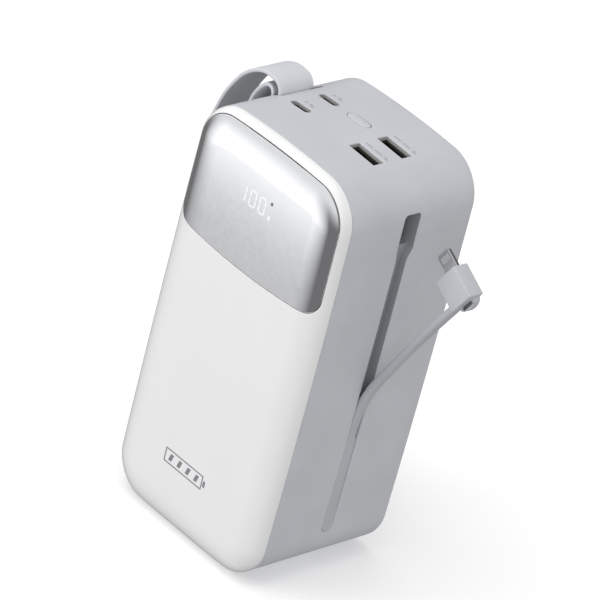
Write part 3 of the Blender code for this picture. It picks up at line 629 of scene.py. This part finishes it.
def opening_outline(grow):
    wide, deep = STRAP_OPENING
    return rounded_rectangle(STRAP_ROOT, (wide + 2 * grow, deep + 2 * grow), OPENING_CORNER + grow, 6)


def top_cuts():
    def down_to(low):
        return lambda x, y: (x, y, low)

    floor_at = down_to(2 * HALF_HEIGHT - TOP_CUT_DEPTH)
    cuts = [mouth(name, lambda grow, name=name: port_outline(name, grow), on_top, floor_at) for name in PORTS]
    cuts.append(mouth("button", button_outline, on_top, floor_at, BUTTON_EDGE))
    cuts.append(mouth("strap_slot", opening_outline, on_top, down_to(OPENING_FLOOR), OPENING_EDGE))
    return cuts


CHANNEL_Y = 0.0022
CHANNEL_WIDTH = 0.0051
CHANNEL_FLOOR = 0.0347
CHANNEL_BOTTOM = 0.0170
CHANNEL_EDGE = 0.00010
FUNNEL_START = 0.1276
SEAT_Y = 0.0027
SEAT_WIDTH = 0.0074
SEAT_BOTTOM = 0.1329
SEAT_TOP = 0.1463
SEAT_FLOOR = 0.0250
SEAT_CORNER = 0.0015
SLOT_FLOOR = 0.0175
SLOT_WIDTH = 0.0026
SLOT_LOW = 0.1360
SLOT_HIGH = 0.1474
# Height where the painted shade in the groove begins.
CHANNEL_SHADE_FROM = 0.0700


def channel_outline(grow):
    """The channel with a round lower end, widening through a funnel up to the seat."""
    half = CHANNEL_WIDTH / 2 + grow
    left, right = CHANNEL_Y - half, CHANNEL_Y + half
    seat_left = SEAT_Y - SEAT_WIDTH / 2 - grow
    seat_right = SEAT_Y + SEAT_WIDTH / 2 + grow
    outline = arc((CHANNEL_Y, CHANNEL_BOTTOM + CHANNEL_WIDTH / 2), half, 180, 360, 24)
    outline += [(right, z) for z in between(0.0200, FUNNEL_START, 20)[1:]]
    rise = SEAT_BOTTOM - FUNNEL_START
    bend = [(FUNNEL_START + rise * t, t * t * (3 - 2 * t)) for t in between(0.0, 1.0, 12)]
    outline += [(right + (seat_right - right) * s, z) for z, s in bend]
    outline += [(seat_right, SEAT_BOTTOM), (seat_right, SEAT_BOTTOM + 0.002)]
    outline += [(seat_left, SEAT_BOTTOM + 0.002), (seat_left, SEAT_BOTTOM)]
    outline += [(left + (seat_left - left) * s, z) for z, s in reversed(bend)]
    outline += [(left, z) for z in between(FUNNEL_START, 0.0200, 20)[1:]]
    return outline


def seat_outline(grow):
    size = (SEAT_WIDTH + 2 * grow, SEAT_TOP - SEAT_BOTTOM + 2 * grow)
    return rounded_rectangle((SEAT_Y, (SEAT_BOTTOM + SEAT_TOP) / 2), size, SEAT_CORNER + grow, 10)


def channel_walls():
    """Blocks inside the case that the channel, the seat and the slot are cut into."""
    wall = 0.0018
    outside = HALF_WIDTH - 0.0016
    rib = CHANNEL_WIDTH / 2 + wall
    seat = SEAT_WIDTH / 2 + wall
    slot = SLOT_WIDTH / 2 + 0.0012
    corners = {
        "channel_rib": (
            (CHANNEL_FLOOR - wall, CHANNEL_Y - rib, CHANNEL_BOTTOM - wall - 0.001),
            (outside, CHANNEL_Y + rib, SEAT_BOTTOM),
        ),
        "seat_block": (
            (SEAT_FLOOR - wall, SEAT_Y - seat, FUNNEL_START - wall),
            (outside - 0.0008, SEAT_Y + seat, SEAT_TOP + wall),
        ),
        "slot_block": (
            (SLOT_FLOOR - wall, SEAT_Y - slot, SLOT_LOW - wall),
            (SEAT_FLOOR, SEAT_Y + slot, SLOT_HIGH + 0.0009),
        ),
    }
    return [block(name, low, high) for name, (low, high) in corners.items()]


def channel_cuts():
    def in_to(floor):
        return lambda y, z: (floor, y, z)

    reach = SLOT_WIDTH / 2
    slot_low = (SLOT_FLOOR, SEAT_Y - reach, SLOT_LOW)
    slot_high = (HALF_WIDTH - 0.0035, SEAT_Y + reach, SLOT_HIGH)
    inlet_low = (CHANNEL_FLOOR - 0.004, CHANNEL_Y - 0.0023, CHANNEL_BOTTOM + 0.0016)
    inlet_high = (CHANNEL_FLOOR + 0.001, CHANNEL_Y + 0.0023, CHANNEL_BOTTOM + 0.0050)
    return [
        mouth("channel", channel_outline, on_side, in_to(CHANNEL_FLOOR), CHANNEL_EDGE),
        mouth("seat", seat_outline, on_side, in_to(SEAT_FLOOR)),
        block("slot_cut", slot_low, slot_high),
        block("inlet_cut", inlet_low, inlet_high),
    ]


def within(a, b, centre, size, margin):
    """Whether the place (a, b) lies in a rectangle that is grown by a margin."""
    return abs(a - centre[0]) < size[0] / 2 + margin and abs(b - centre[1]) < size[1] / 2 + margin


def in_top_hole(point):
    """Whether a point lies on the walls of the button's or the strap's opening."""
    if not 0.0003 < top_z(point.x) - point.z < 0.0040:
        return False
    button, _ = middle("power_button")
    near_button = within(point.x, point.y, (button.x, button.y), BUTTON_SIZE, BUTTON_MARGIN)
    return near_button or within(point.x, point.y, STRAP_ROOT, STRAP_OPENING, OPENING_MARGIN)


def in_channel(point):
    """Whether a point lies on the walls or the floor of the channel, the seat or the slot."""
    if case_inset(point.x, point.z) < 0.0005 or point.x < SLOT_FLOOR - 0.0001:
        return False
    groove = abs(point.y - CHANNEL_Y) < CHANNEL_WIDTH / 2 + 0.00015
    groove = groove and CHANNEL_SHADE_FROM < point.z < SEAT_BOTTOM and point.x > CHANNEL_FLOOR - 0.0001
    seat = abs(point.y - SEAT_Y) < SEAT_WIDTH / 2 + 0.00015
    return groove or (seat and FUNNEL_START < point.z < SLOT_HIGH + 0.0001)


def case_shell():
    front = HOUSING_LOW.y
    lip = 0.00018
    sections = [(WALL, BACK_Y - WALL), (WALL, front), (lip, front), (0.0, front + lip)]
    sections += [(0.0, front + 0.004 + 0.048 * i / 8) for i in range(9)]
    sections += arc((BACK_EDGE, BACK_Y - BACK_EDGE), BACK_EDGE, 180, 90, 8)
    rings = [[(x, y, z) for x, z in case_outline(inset)] for inset, y in sections]
    shell = loft("case_shell", rings, CASE_GREY)
    combine(shell, "UNION", channel_walls())
    combine(shell, "DIFFERENCE", top_cuts() + channel_cuts())
    # Painted shade on the walls and floor of the channel, the seat and the slot.
    paint_shade_on_faces(shell, CHANNEL_PAINTED_SHADE, in_channel)
    # Painted shade on the walls of the button's and the strap's openings.
    paint_shade_on_faces(shell, PRINT_AND_SHADE_DARK, in_top_hole)
    stand_for(shell, "case", "case_grey", "rear_housing")


def in_recess(point):
    """Whether a point lies on the upper walls of the window's recess."""
    if point.z < CORNERS_FROM:
        return False
    depth = point.y - dome_y(point.x, point.z)
    return 0.0004 < depth < 0.0020 and case_inset(point.x, point.z) > WINDOW_INSET - 0.0003


def front_shell():
    skins = dome_rings(COVER_THICKNESS, 8)[::-1] + dome_rings(0.0, DOME_STEPS)
    shell = loft("front_shell", skins, COVER_WHITE)
    edge = 0.0002
    rim = window_ring(WINDOW_INSET)
    wide = window_ring(WINDOW_INSET - 2 * edge)
    rings = window_layer(WINDOW_INSET, WINDOW_RECESS)[::-1]
    rings.append([(x, dome_y(x, z) + edge, z) for x, z in rim])
    rings.append([(x, dome_y(x, z) - edge, z) for x, z in wide])
    rings.append([(x, FRONT_Y - 0.002, z) for x, z in wide])
    recess = loft("window_recess", rings)
    combine(shell, "DIFFERENCE", [recess])
    # Painted shade on the upper walls of the window's recess.
    paint_shade_on_faces(shell, PRINT_AND_SHADE_DARK, in_recess)
    stand_for(shell, "case", "cover_white", "front_cover")


def window_glass():
    edge = 0.00015
    inset = WINDOW_INSET + WINDOW_GAP
    outer = window_layer(inset + edge, 0.0)
    rim = [(x, dome_y(x, z) + edge, z) for x, z in window_ring(inset)]
    glass = loft("window_glass", window_layer(inset, WINDOW_THICKNESS)[::-1] + [rim] + outer, MIRROR, 30)
    stand_for(glass, "case", "mirror_window", "display_window")


def button_cap():
    """A slightly domed cap with a rounded edge, a little proud of the top, on a stem to the switch."""
    centre, _ = middle("power_button")
    low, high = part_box("power_button")
    face = high.z + BUTTON_PROUD
    rings = []
    for inset, drop in CAP_PROFILE:
        ring = stadium((centre.x, centre.y), (BUTTON_SIZE[0] - 2 * inset, BUTTON_SIZE[1] - 2 * inset))
        rings.append([(x, y, face - drop) for x, y in ring])
    cap = loft("button_cap", rings, BUTTON_GREY)
    stem = arc(centre, STEM_RADIUS, 0, 360, 24)[:-1]
    ends = (low.z, high.z - 0.001)
    combine(cap, "UNION", [loft("button_stem", [[(x, y, z) for x, y in stem] for z in ends])])
    stand_for(cap, "button", "button_grey", "power_button")


# --- Marks on the window, the front and the top ---

DIGIT_HEIGHT = 0.0064
DIGIT_WIDTH = 0.0034
DIGIT_STROKE = 0.00058
DIGIT_Z = 0.1361
DIGIT_XS = (-0.0066, -0.0032, 0.0016)
DOT_X = 0.0057
SEGMENTS = {"0": "abcdef", "1": "bc"}
FRONT_DROPS = (-0.00004, 0.00004)
TOP_DROPS = (-0.00003, 0.00004)


def plates(name, outlines, place, drops, finish, slot):
    """Thin plates, one for each outline, between two drops below the surface that place follows."""
    bm = bmesh.new()
    for outline in outlines:
        add_body(bm, [[place(*point, drop) for point in outline] for drop in drops])
    stand_for(add_piece(name, bm, finish), "case", slot)


def segment_outline(centre, letter):
    """One bar of a seven-segment digit, with pointed ends."""
    x, z = centre
    half_w, half_h = (DIGIT_WIDTH - DIGIT_STROKE) / 2, (DIGIT_HEIGHT - DIGIT_STROKE) / 2
    level = {"a": half_h, "g": 0.0, "d": -half_h}
    r = DIGIT_STROKE / 2
    trim = 0.00012
    if letter in level:
        z += level[letter]
        ends = (x - half_w + trim, x + half_w - trim)
        upper = [(ends[0] + r, z + r), (ends[1] - r, z + r)]
        lower = [(ends[1] - r, z - r), (ends[0] + r, z - r)]
        return [(ends[0], z), *upper, (ends[1], z), *lower]
    x += half_w if letter in "bc" else -half_w
    z += half_h / 2 if letter in "bf" else -half_h / 2
    low, high = z - half_h / 2 + trim, z + half_h / 2 - trim
    return [(x, low), (x + r, low + r), (x + r, high - r), (x, high), (x - r, high - r), (x - r, low + r)]


def display_digits():
    outlines = []
    for x, digit in zip(DIGIT_XS, "100"):
        if digit == "1":
            x -= DIGIT_WIDTH / 2
        outlines += [segment_outline((x, DIGIT_Z), letter) for letter in SEGMENTS[digit]]
    outlines.append(rounded_rectangle((DOT_X, DIGIT_Z - 0.0024), (0.0009, 0.0017), 0.0003, 4))
    plates("display_digits", outlines, on_front, FRONT_DROPS, DIGITS, "mirror_window")
    dot = rounded_rectangle((DOT_X, DIGIT_Z + 0.0030), (0.0010, 0.0013), 0.00045, 6)
    plates("display_dot", [dot], on_front, FRONT_DROPS, PRINT_AND_SHADE_DARK, "mirror_window")


def battery_mark():
    """A plain battery pictogram on the white front."""
    left, right = -0.0130, 0.0070
    low, high = 0.0240, 0.0296
    stroke = 0.00048
    sides = (
        ((left, low), (right, low + stroke)),
        ((left, high - stroke), (right, high)),
        ((left, low + stroke), (left + stroke, high - stroke)),
        ((right - stroke, low + stroke), (right, high - stroke)),
    )
    outlines = [[a, (b[0], a[1]), b, (a[0], b[1])] for a, b in sides]
    outlines.append(rounded_rectangle((right + 0.0009, (low + high) / 2), (0.0011, 0.0024), 0.0003, 4))
    foot, head = low + 0.0014, high - 0.0014
    for i in range(4):
        x = left + 0.0033 + i * 0.0045
        outlines.append([(x - 0.0012, foot), (x + 0.0004, foot), (x + 0.0012, head), (x - 0.0004, head)])
    plates("battery_mark", outlines, on_front, FRONT_DROPS, PRINT_AND_SHADE_MID, "cover_white")


# For each kind of port: its dashes as (x, length), and the lightning sign's x and half length.
PORT_SIGNS = {
    "usb_a": (((-0.0036, 0.0036), (0.0010, 0.0036)), 0.0049, 0.0016),
    "usb_c": (((-0.0016, 0.0012),), 0.0012, 0.0019),
}
SIGN_BEHIND = 0.0018
DASH_DEPTH = 0.00080
DASH_CORNER = 0.0003


def bolt(x, y, size):
    """A small lightning sign drawn along X."""
    shape = ((-1.0, 0.15), (0.1, 0.55), (0.0, 0.15), (1.0, -0.15), (-0.1, -0.55), (0.0, -0.15))
    return [(x + a * size, y + b * size) for a, b in shape]


def port_marks():
    """Small generic signs behind each port: pale dashes and a lightning sign."""
    for name in PORTS:
        centre, size = middle(f"{name}_shell")
        y = centre.y + size.y / 2 + SIGN_BEHIND
        dashes, sign_x, sign_size = PORT_SIGNS[name[:5]]
        outlines = []
        for dash_x, wide in dashes:
            outlines.append(rounded_rectangle((centre.x + dash_x, y), (wide, DASH_DEPTH), DASH_CORNER, 4))
        sign = bolt(centre.x + sign_x, y, sign_size)
        for mark, shapes in (("dashes", outlines), ("sign", [sign])):
            plates(f"{name}_{mark}", shapes, on_top, TOP_DROPS, PRINT_PALE, "case_grey")


# --- Cable ---

CABLE_WIDTH = 0.0046
CABLE_THICKNESS = 0.0026
CABLE_EDGE = 0.0011
LAST_BEND_DEG = 1.6
LAST_REACH = 0.0157
RUN_WIDTH = 0.0050
RUN_EDGE = 0.0004
RUN_FOOT_GAP = 0.0001
PIECE_STEPS = 12


def hinges():
    """Places of the cable's hinges, in order, from the record."""
    bends = [joint for joint in frame["joints"] if joint["name"].startswith("cable_bend")]
    return [Vector(joint["pos_m"]) for joint in sorted(bends, key=lambda joint: joint["name"])]


def cable_end():
    """Where the cable meets the connector, and how far it leans there."""
    last, before = hinges()[-1], hinges()[-2]
    lean = math.atan2(last.x - before.x, last.z - before.z) + math.radians(LAST_BEND_DEG)
    return last + Vector((math.sin(lean), 0, math.cos(lean))) * LAST_REACH, lean


def ribbon(name, path, finish, width=CABLE_WIDTH, edge=CABLE_EDGE):
    """A flat cable with rounded edges along path, a list of (point, lean)."""
    section = rounded_rectangle((0.0, 0.0), (CABLE_THICKNESS, width), edge, 8)
    rings = []
    for point, lean in path:
        across = Vector((math.cos(lean), 0, -math.sin(lean)))
        rings.append([point + across * a + Vector((0, b, 0)) for a, b in section])
    return loft(name, rings, finish, 50)


def bend_path(start, corner, end):
    """A smooth turn from start to end that is tangent to both straights at corner."""
    path = []
    for i in range(PIECE_STEPS + 1):
        t = i / PIECE_STEPS
        point = start * (1 - t) ** 2 + corner * 2 * t * (1 - t) + end * t * t
        along = (corner - start) * (1 - t) + (end - corner) * t
        path.append((point, math.atan2(along.x, along.z)))
    return path


def fixed_cable(top):
    """The length that fills the channel's lower end, round at its foot, with a tail in to the clamp."""
    run_low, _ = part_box("cable_fixed_run")
    foot = CHANNEL_BOTTOM + RUN_FOOT_GAP
    radius = RUN_WIDTH / 2
    heights = [foot + radius * (1 - math.cos(math.radians(3 + 87 * i / 12))) for i in range(13)]
    heights += between(foot + radius, top.z, 16)[1:] + [top.z]
    path = [(Vector((top.x, top.y, z)), 0.0) for z in heights]
    run = ribbon("cable_fixed", path, CABLE, RUN_WIDTH, RUN_EDGE)
    for vertex in run.data.vertices:
        below = max(0.0, foot + radius - vertex.co.z)
        vertex.co.y = top.y + (vertex.co.y - top.y) * math.sqrt(1 - (below / radius) ** 2)
    half = CABLE_WIDTH / 2
    tail_low = (run_low.x, top.y - half, run_low.z)
    tail_high = (top.x, top.y + half, run_low.z + CABLE_THICKNESS)
    combine(run, "UNION", [block("cable_tail_in", tail_low, tail_high)], 50)
    stand_for(run, "case", "cable_jacket", "cable_fixed_run")


def flat_cable():
    corners = hinges()
    end, _ = cable_end()
    first = corners[0]
    middles = [first - Vector((0, 0, 0.0028))]
    middles += [(a + b) / 2 for a, b in zip(corners, corners[1:])]
    tail = corners[-1] + (end - corners[-1]) * 0.5
    middles.append(tail)
    fixed_cable(middles[0])
    for i, corner in enumerate(corners):
        piece = ribbon(f"cable_bend_{i + 1}_piece", bend_path(middles[i], corner, middles[i + 1]), CABLE)
        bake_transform(piece)
        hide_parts(f"cable_link_{i + 1}")
    _, lean = cable_end()
    tip = end + Vector((math.sin(lean), 0, math.cos(lean))) * 0.001
    stub = ribbon("cable_tail", [(tail + (tip - tail) * i / 4, lean) for i in range(5)], CABLE)
    stand_for(stub, "connector", "cable_jacket")


# --- Connector ---

HEAD_UP = 0.0112
HEAD_THROUGH = 0.0066
HEAD_IN = 0.0106
HEAD_OUT = 0.0014
PLUG_UP = 0.00695
PLUG_SIZE = (0.0067, 0.0015, 0.0071)
PLUG_SEATED = 0.0020
PLUG_BEVEL = (0.00025, 0.0003)
THUMB_TAB = 0.0022
HEAD_EDGE = 0.0005
SOCKET_GAP = 0.00025
TAB_FACE = -0.0006
TAB_BACK = 0.0008
TAB_EDGE = 0.0003
TAB_ROOT = 0.002
RECESS_X = HEAD_OUT + 0.00085
RECESS_SIZE = (0.0013, 0.0054)
RECESS_DEPTH = 0.0010


def on_cable_end(obj):
    """Sets a shape drawn upright, with +X away from the case, on the end of the cable."""
    end, lean = cable_end()
    obj.data.transform(Matrix.Translation((end.x, SEAT_Y, end.z)) @ Matrix.Rotation(lean, 4, "Y"))


def in_plug_socket(point):
    """Whether a point of the upright head lies on the walls of the plug's socket."""
    long_side, thin, _ = PLUG_SIZE
    if not -HEAD_IN + 0.0001 < point.x < -HEAD_IN + PLUG_SEATED + 0.0001:
        return False
    return within(point.y, point.z, (0.0, PLUG_UP), (thin, long_side), SOCKET_GAP * 1.2)


def in_finger_recess(point):
    """Whether a point of the upright head lies on the walls or the floor of the recess in the thumb tab."""
    if not TAB_FACE + 0.0001 < point.y < TAB_FACE + RECESS_DEPTH + 0.0001:
        return False
    return within(point.x, point.z, (RECESS_X, HEAD_UP / 2), RECESS_SIZE, 0.0001)


def thumb_tab():
    """A half-round tab that stands out from the head's outer face."""
    middle_z = HEAD_UP / 2
    tall = THUMB_TAB * 2
    turns = [math.radians(90 - 180 * i / 24) for i in range(25)]
    outline = [(HEAD_OUT - TAB_ROOT, middle_z + tall)]
    outline += [(HEAD_OUT + THUMB_TAB * math.cos(a), middle_z + tall * math.sin(a)) for a in turns]
    outline.append((HEAD_OUT - TAB_ROOT, middle_z - tall))
    far = HEAD_THROUGH / 2 - TAB_BACK
    rings = []
    sections = ((TAB_EDGE, TAB_FACE), (0.0, TAB_FACE + TAB_EDGE), (0.0, far - TAB_EDGE), (TAB_EDGE, far))
    for inset, y in sections:
        shrink = 1 - inset / tall
        ring = [(x - inset if x > HEAD_OUT else x, y, middle_z + (z - middle_z) * shrink) for x, z in outline]
        rings.append(ring)
    return loft("thumb_tab", rings)


def connector_body():
    """The moulded head: rounded edges, and a thumb tab with a recess in its face on the outer end."""
    half = HEAD_THROUGH / 2
    head = block("connector_body", (-HEAD_IN, -half, 0.0), (HEAD_OUT, half, HEAD_UP), CONNECTOR, HEAD_EDGE)
    combine(head, "UNION", [thumb_tab()], 40)
    notch = stadium((RECESS_X, HEAD_UP / 2), RECESS_SIZE)
    recess = prism("finger_recess", notch, TAB_FACE - 0.0002, TAB_FACE + RECESS_DEPTH)
    long_side, thin, _ = PLUG_SIZE
    socket = block(
        "plug_socket",
        (-HEAD_IN - 0.001, -thin / 2 - SOCKET_GAP, PLUG_UP - long_side / 2 - SOCKET_GAP),
        (-HEAD_IN + PLUG_SEATED, thin / 2 + SOCKET_GAP, PLUG_UP + long_side / 2 + SOCKET_GAP),
    )
    combine(head, "DIFFERENCE", [recess, socket], 40)
    # Painted shade: the walls of the plug's socket in black.
    paint_shade_on_faces(head, BLACK_AND_SHADE, in_plug_socket)
    # Painted shade on the walls and floor of the finger recess.
    paint_shade_on_faces(head, PRINT_AND_SHADE_MID, in_finger_recess)
    on_cable_end(head)
    stand_for(head, "connector", "connector_grey", "connector_head")


def plug():
    """A flat metal tongue with a framed row of contacts on each face."""
    long_side, thin, length = PLUG_SIZE
    tip = -HEAD_IN - length
    root = -HEAD_IN + PLUG_SEATED
    rings = []
    near, far = PLUG_BEVEL[1] - thin / 2, thin / 2 - PLUG_BEVEL[1]
    for inset, y in ((PLUG_BEVEL[0], -thin / 2), (0.0, near), (0.0, far), (PLUG_BEVEL[0], thin / 2)):
        size = (root - tip - 2 * inset, long_side - 2 * inset)
        ring = rounded_rectangle(((tip + root) / 2, PLUG_UP), size, 0.0011 - inset, 8)
        rings.append([(x, y, z) for x, z in ring])
    tongue = loft("plug_tongue_body", rings, STEEL)
    centre = (tip + 0.0026, PLUG_UP)
    window = rounded_rectangle(centre, (0.0028, 0.0050), 0.0007, 6)
    combine(tongue, "DIFFERENCE", [prism("plug_window", window, -0.002, 0.002)])
    on_cable_end(tongue)
    stand_for(tongue, "connector", "plated_steel", "plug_tongue")
    inner = rounded_rectangle(centre, (0.0026, 0.0048), 0.0006, 6)
    depth = thin / 2 - 0.00002
    insert = prism("contact_block", inner, -depth, depth, CONTACT_GREY)
    on_cable_end(insert)
    stand_for(insert, "connector", "black_plastic", "contact_insert")
    reach = Vector((0.0009, 0.00004, 0.00015))
    for side, face in ((-1, "front"), (1, "rear")):
        for i in range(8):
            z = PLUG_UP + (i - 3.5) * 0.00054
            at = Vector((centre[0], side * depth, z))
            pad = block(f"contact_{face}_{i + 1}", at - reach, at + reach, CONTACT_GREY)
            on_cable_end(pad)
            stand_for(pad, "connector", "plated_steel")


# --- Strap ---

STRAP_WIDTH = 0.0158
STRAP_LAYER = 0.0021
STRAP_THIN = 0.0014
STRAP_EDGE = 0.00055
STRAP_TURN_Z = 0.1573
TURN_RADIUS = 0.0009
LAYER_GAP = 0.00002


def smooth_path(points, steps):
    """A curve through the points given, with the first and last straight on."""
    padded = [points[0] * 2 - points[1], *points, points[-1] * 2 - points[-2]]
    path = []
    for before, start, end, after in zip(padded, padded[1:], padded[2:], padded[3:]):
        for t in between(0.0, 1.0, steps):
            path.append(
                0.5 * (2 * start + (end - before) * t + (2 * before - 5 * start + 4 * end - after) * t**2
                       + (3 * start - before - 3 * end + after) * t**3)
            )
    return path + [points[-1]]


# The middle of the band as (x, z), from the case's corner round the loop and back to the root.
STRAP_PATH = (
    (-0.0345, 0.16155), (-0.0375, 0.1611), (-0.0415, 0.1592), (-0.0455, 0.1557), (-0.0487, 0.1510),
    (-0.0519, 0.1446), (-0.0542, 0.1370), (-0.0560, 0.1285), (-0.0567, 0.1180), (-0.0560, 0.1030),
    (-0.0545, 0.0880), (-0.0530, 0.0770), (-0.0509, 0.0708), (-0.0483, 0.0689), (-0.0455, 0.0715),
    (-0.0433, 0.0780), (-0.0418, 0.0880), (-0.0409, 0.1030), (-0.0406, 0.1200), (-0.0404, 0.1370),
    (-0.0406, 0.1450), (-0.0401, 0.1495), (-0.0386, 0.1535), (-0.0363, 0.1569), (-0.0345, 0.1584),
    (-0.0330, 0.1587), (-0.0316, 0.1582), (-0.0306, 0.1569),
)


def strap_centreline():
    """Down the middle of the band: from the root, over the corner, round the loop and back to the root."""
    root_x, y = STRAP_ROOT
    half = STRAP_LAYER / 2 + LAYER_GAP
    turn = (root_x - STRAP_LAYER - TURN_RADIUS, STRAP_TURN_Z)
    path = [(root_x + half, z) for z in (0.1500, 0.1530, 0.1555)]
    path += arc(turn, TURN_RADIUS + 1.5 * STRAP_LAYER, 0, 80, 5)
    path += STRAP_PATH
    path += [(root_x - half, z) for z in (0.1550, 0.1525, 0.1500)]
    return [Vector((x, y, z)) for x, z in path]


def strap_band():
    """One soft thin band with rounded edges, laid along the outside of the loop, its inner face darker as painted
    shade.
    """
    path = smooth_path(strap_centreline(), 5)
    middle_out = (STRAP_THIN - STRAP_LAYER) / 2
    section = rounded_rectangle((middle_out, 0.0), (STRAP_THIN, STRAP_WIDTH), STRAP_EDGE, 6)
    rings = []
    for before, point, after in zip([path[0], *path], path, [*path[1:], path[-1]]):
        along = (after - before).normalized()
        out = along.cross(Vector((0, 1, 0)))
        rings.append([point + out * a + Vector((0, b, 0)) for a, b in section])
    band = loft("strap_band", rings, [STRAP, STRAP_PAINTED_SHADE], 50)
    steps = len(section)
    # Faces on the inner side of the band get the painted shade.
    shade_from = middle_out + STRAP_THIN / 2 - 0.00008
    inner = [i for i in range(steps) if min(section[i][0], section[(i + 1) % steps][0]) > shade_from]
    for ring in range(len(path) - 1):
        for i in inner:
            band.data.polygons[ring * steps + i].material_index = 1
    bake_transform(band)
    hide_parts("strap_root", "strap_loop")


# --- Floor, lights and camera ---

CAMERA_AZIMUTH = 40.735
CAMERA_ELEVATION = 29.597
CAMERA_ROLL = 15.011
CAMERA_DISTANCE = 1.8212
CAMERA_TARGET = (-0.00140, 0.00245, 0.08891)
CAMERA_LENS = 317.86
# What reflections see: a light panel with a slanting foot, shade beside it and a sky.
PANEL_AZIMUTH = -40.7
PANEL_FADE_DEG = (1.0, 34.0)
PANEL_SKEW = 0.317
PANEL_ASIDE = (-0.0275, -0.0005)
PANEL_FOOT = (-0.4924, -0.4790)
PANEL_LOW = 0.565
PANEL_HIGH = 1.25
SHADE = 0.17
SKY_FROM = (-0.38, 0.30)
SKY_FRONT = 0.80
SKY_BACK = 0.16
AMBIENT = 0.62


def floor():
    bm = bmesh.new()
    bmesh.ops.create_grid(bm, x_segments=24, y_segments=24, size=3.0)
    material, tree, shader, place = new_material("pale_floor")
    cloud = noise(tree, place, 3.0, 3.0)
    inputs = {
        "Base Color": ramp(tree, cloud, (0.93, 0.93, 0.93), (0.95, 0.95, 0.95)),
        "Roughness": 0.9,
        "Specular IOR Level": 0.0,
        "Emission Color": (1.0, 1.0, 1.0, 1.0),
        "Emission Strength": 0.14,
    }
    feed(tree, shader, inputs)
    ground = add_piece("floor", bm, material)
    ground.location.z = HOUSING_LOW.z - 0.0002
    ground.visible_diffuse = False
    ground.visible_glossy = False


def softbox(name, place, size, power):
    """A square area light aimed at the object's middle, out of sight of reflections."""
    light = bpy.data.lights.new(name, "AREA")
    light.shape = "RECTANGLE"
    light.size = light.size_y = size
    light.energy = power
    obj = bpy.data.objects.new(name, light)
    bpy.context.scene.collection.objects.link(obj)
    obj.location = place
    aim = Vector((0.0, 0.0, HALF_HEIGHT)) - Vector(place)
    obj.rotation_euler = aim.to_track_quat("-Z", "Y").to_euler()
    obj.visible_glossy = False


def calculate(tree, operation, first, second=0.0):
    return add_node(tree, "Math", {0: first, 1: second}, operation=operation).outputs["Value"]


def smooth_step(tree, source, low, high):
    inputs = {"Value": source, "From Min": low, "From Max": high}
    return add_node(tree, "MapRange", inputs, interpolation_type="SMOOTHSTEP").outputs["Result"]


def mix_values(tree, share, first, second):
    return add_node(tree, "Mix", {0: share, 2: first, 3: second}).outputs[0]


def component(tree, direction, axis):
    """How far a direction runs along an axis."""
    return add_node(tree, "VectorMath", {0: direction, 1: axis}, operation="DOT_PRODUCT").outputs["Value"]


def studio_world():
    """A soft surround: a tall light panel to the front left, shade to either side of it, a bright sky."""
    world = bpy.data.worlds.new("studio")
    bpy.context.scene.world = world
    world.use_nodes = True
    tree = world.node_tree
    place = tree.nodes.new("ShaderNodeTexCoord").outputs["Generated"]
    split = add_node(tree, "SeparateXYZ", {"Vector": place}).outputs
    level = add_node(tree, "CombineXYZ", {"X": split["X"], "Y": split["Y"]}).outputs["Vector"]
    unit = add_node(tree, "VectorMath", {0: level}, operation="NORMALIZE").outputs["Vector"]
    turn = math.radians(PANEL_AZIMUTH)
    facing = component(tree, unit, (math.sin(turn), -math.cos(turn), 0.0))
    aside = component(tree, unit, (math.cos(turn), math.sin(turn), 0.0))
    up = split["Z"]
    fade = [math.radians(angle) for angle in PANEL_FADE_DEG]
    panel_share = remap(tree, calculate(tree, "ARCCOSINE", facing), 1.0, 0.0, *fade)
    first, last = PANEL_ASIDE
    tilt = remap(tree, aside, first * PANEL_SKEW, last * PANEL_SKEW, first, last)
    foot = remap(tree, calculate(tree, "ADD", up, tilt), 0.0, 1.0, *PANEL_FOOT)
    panel = mix_values(tree, calculate(tree, "MULTIPLY", foot, foot), PANEL_LOW, PANEL_HIGH)
    around = mix_values(tree, panel_share, SHADE, panel)
    sky = mix_values(tree, smooth_step(tree, facing, -0.3, 0.3), SKY_BACK, SKY_FRONT)
    mirrored = mix_values(tree, smooth_step(tree, up, *SKY_FROM), around, sky)
    rays = tree.nodes.new("ShaderNodeLightPath").outputs
    lighting = mix_values(tree, rays["Is Glossy Ray"], AMBIENT, mirrored)
    strength = mix_values(tree, rays["Is Camera Ray"], lighting, 1.0)
    feed(tree, tree.nodes["Background"], {"Color": (1.0, 1.0, 1.0, 1.0), "Strength": strength})


def studio():
    studio_world()
    softbox("top_box", (-0.2, -0.3, 1.6), 1.3, 9.8)
    softbox("front_box", (-0.9, -1.3, 0.5), 0.8, 7.9)
    softbox("fill_box", (1.1, -1.2, 0.6), 0.8, 4.6)
    softbox("side_box", (1.5, 0.3, 0.9), 0.9, 1.7)


def camera():
    data = bpy.data.cameras.new("photo_camera")
    data.sensor_width = 36.0
    data.lens = CAMERA_LENS
    data.clip_start = 0.01
    obj = bpy.data.objects.new("photo_camera", data)
    bpy.context.scene.collection.objects.link(obj)
    azimuth, elevation = math.radians(CAMERA_AZIMUTH), math.radians(CAMERA_ELEVATION)
    level = math.cos(elevation)
    back = Vector((math.sin(azimuth) * level, -math.cos(azimuth) * level, math.sin(elevation)))
    turn = (-back).to_track_quat("-Z", "Y").to_matrix().to_4x4()
    roll = Matrix.Rotation(math.radians(CAMERA_ROLL), 4, "Z")
    obj.matrix_world = Matrix.Translation(Vector(CAMERA_TARGET) + back * CAMERA_DISTANCE) @ turn @ roll
    bpy.context.scene.camera = obj


finish_cad_nodes()
case_shell()
port_liners()
front_shell()
window_glass()
button_cap()
display_digits()
battery_mark()
port_marks()
flat_cable()
connector_body()
plug()
strap_band()
floor()
studio()
camera()
bpy.context.scene.view_settings.view_transform = "Standard"
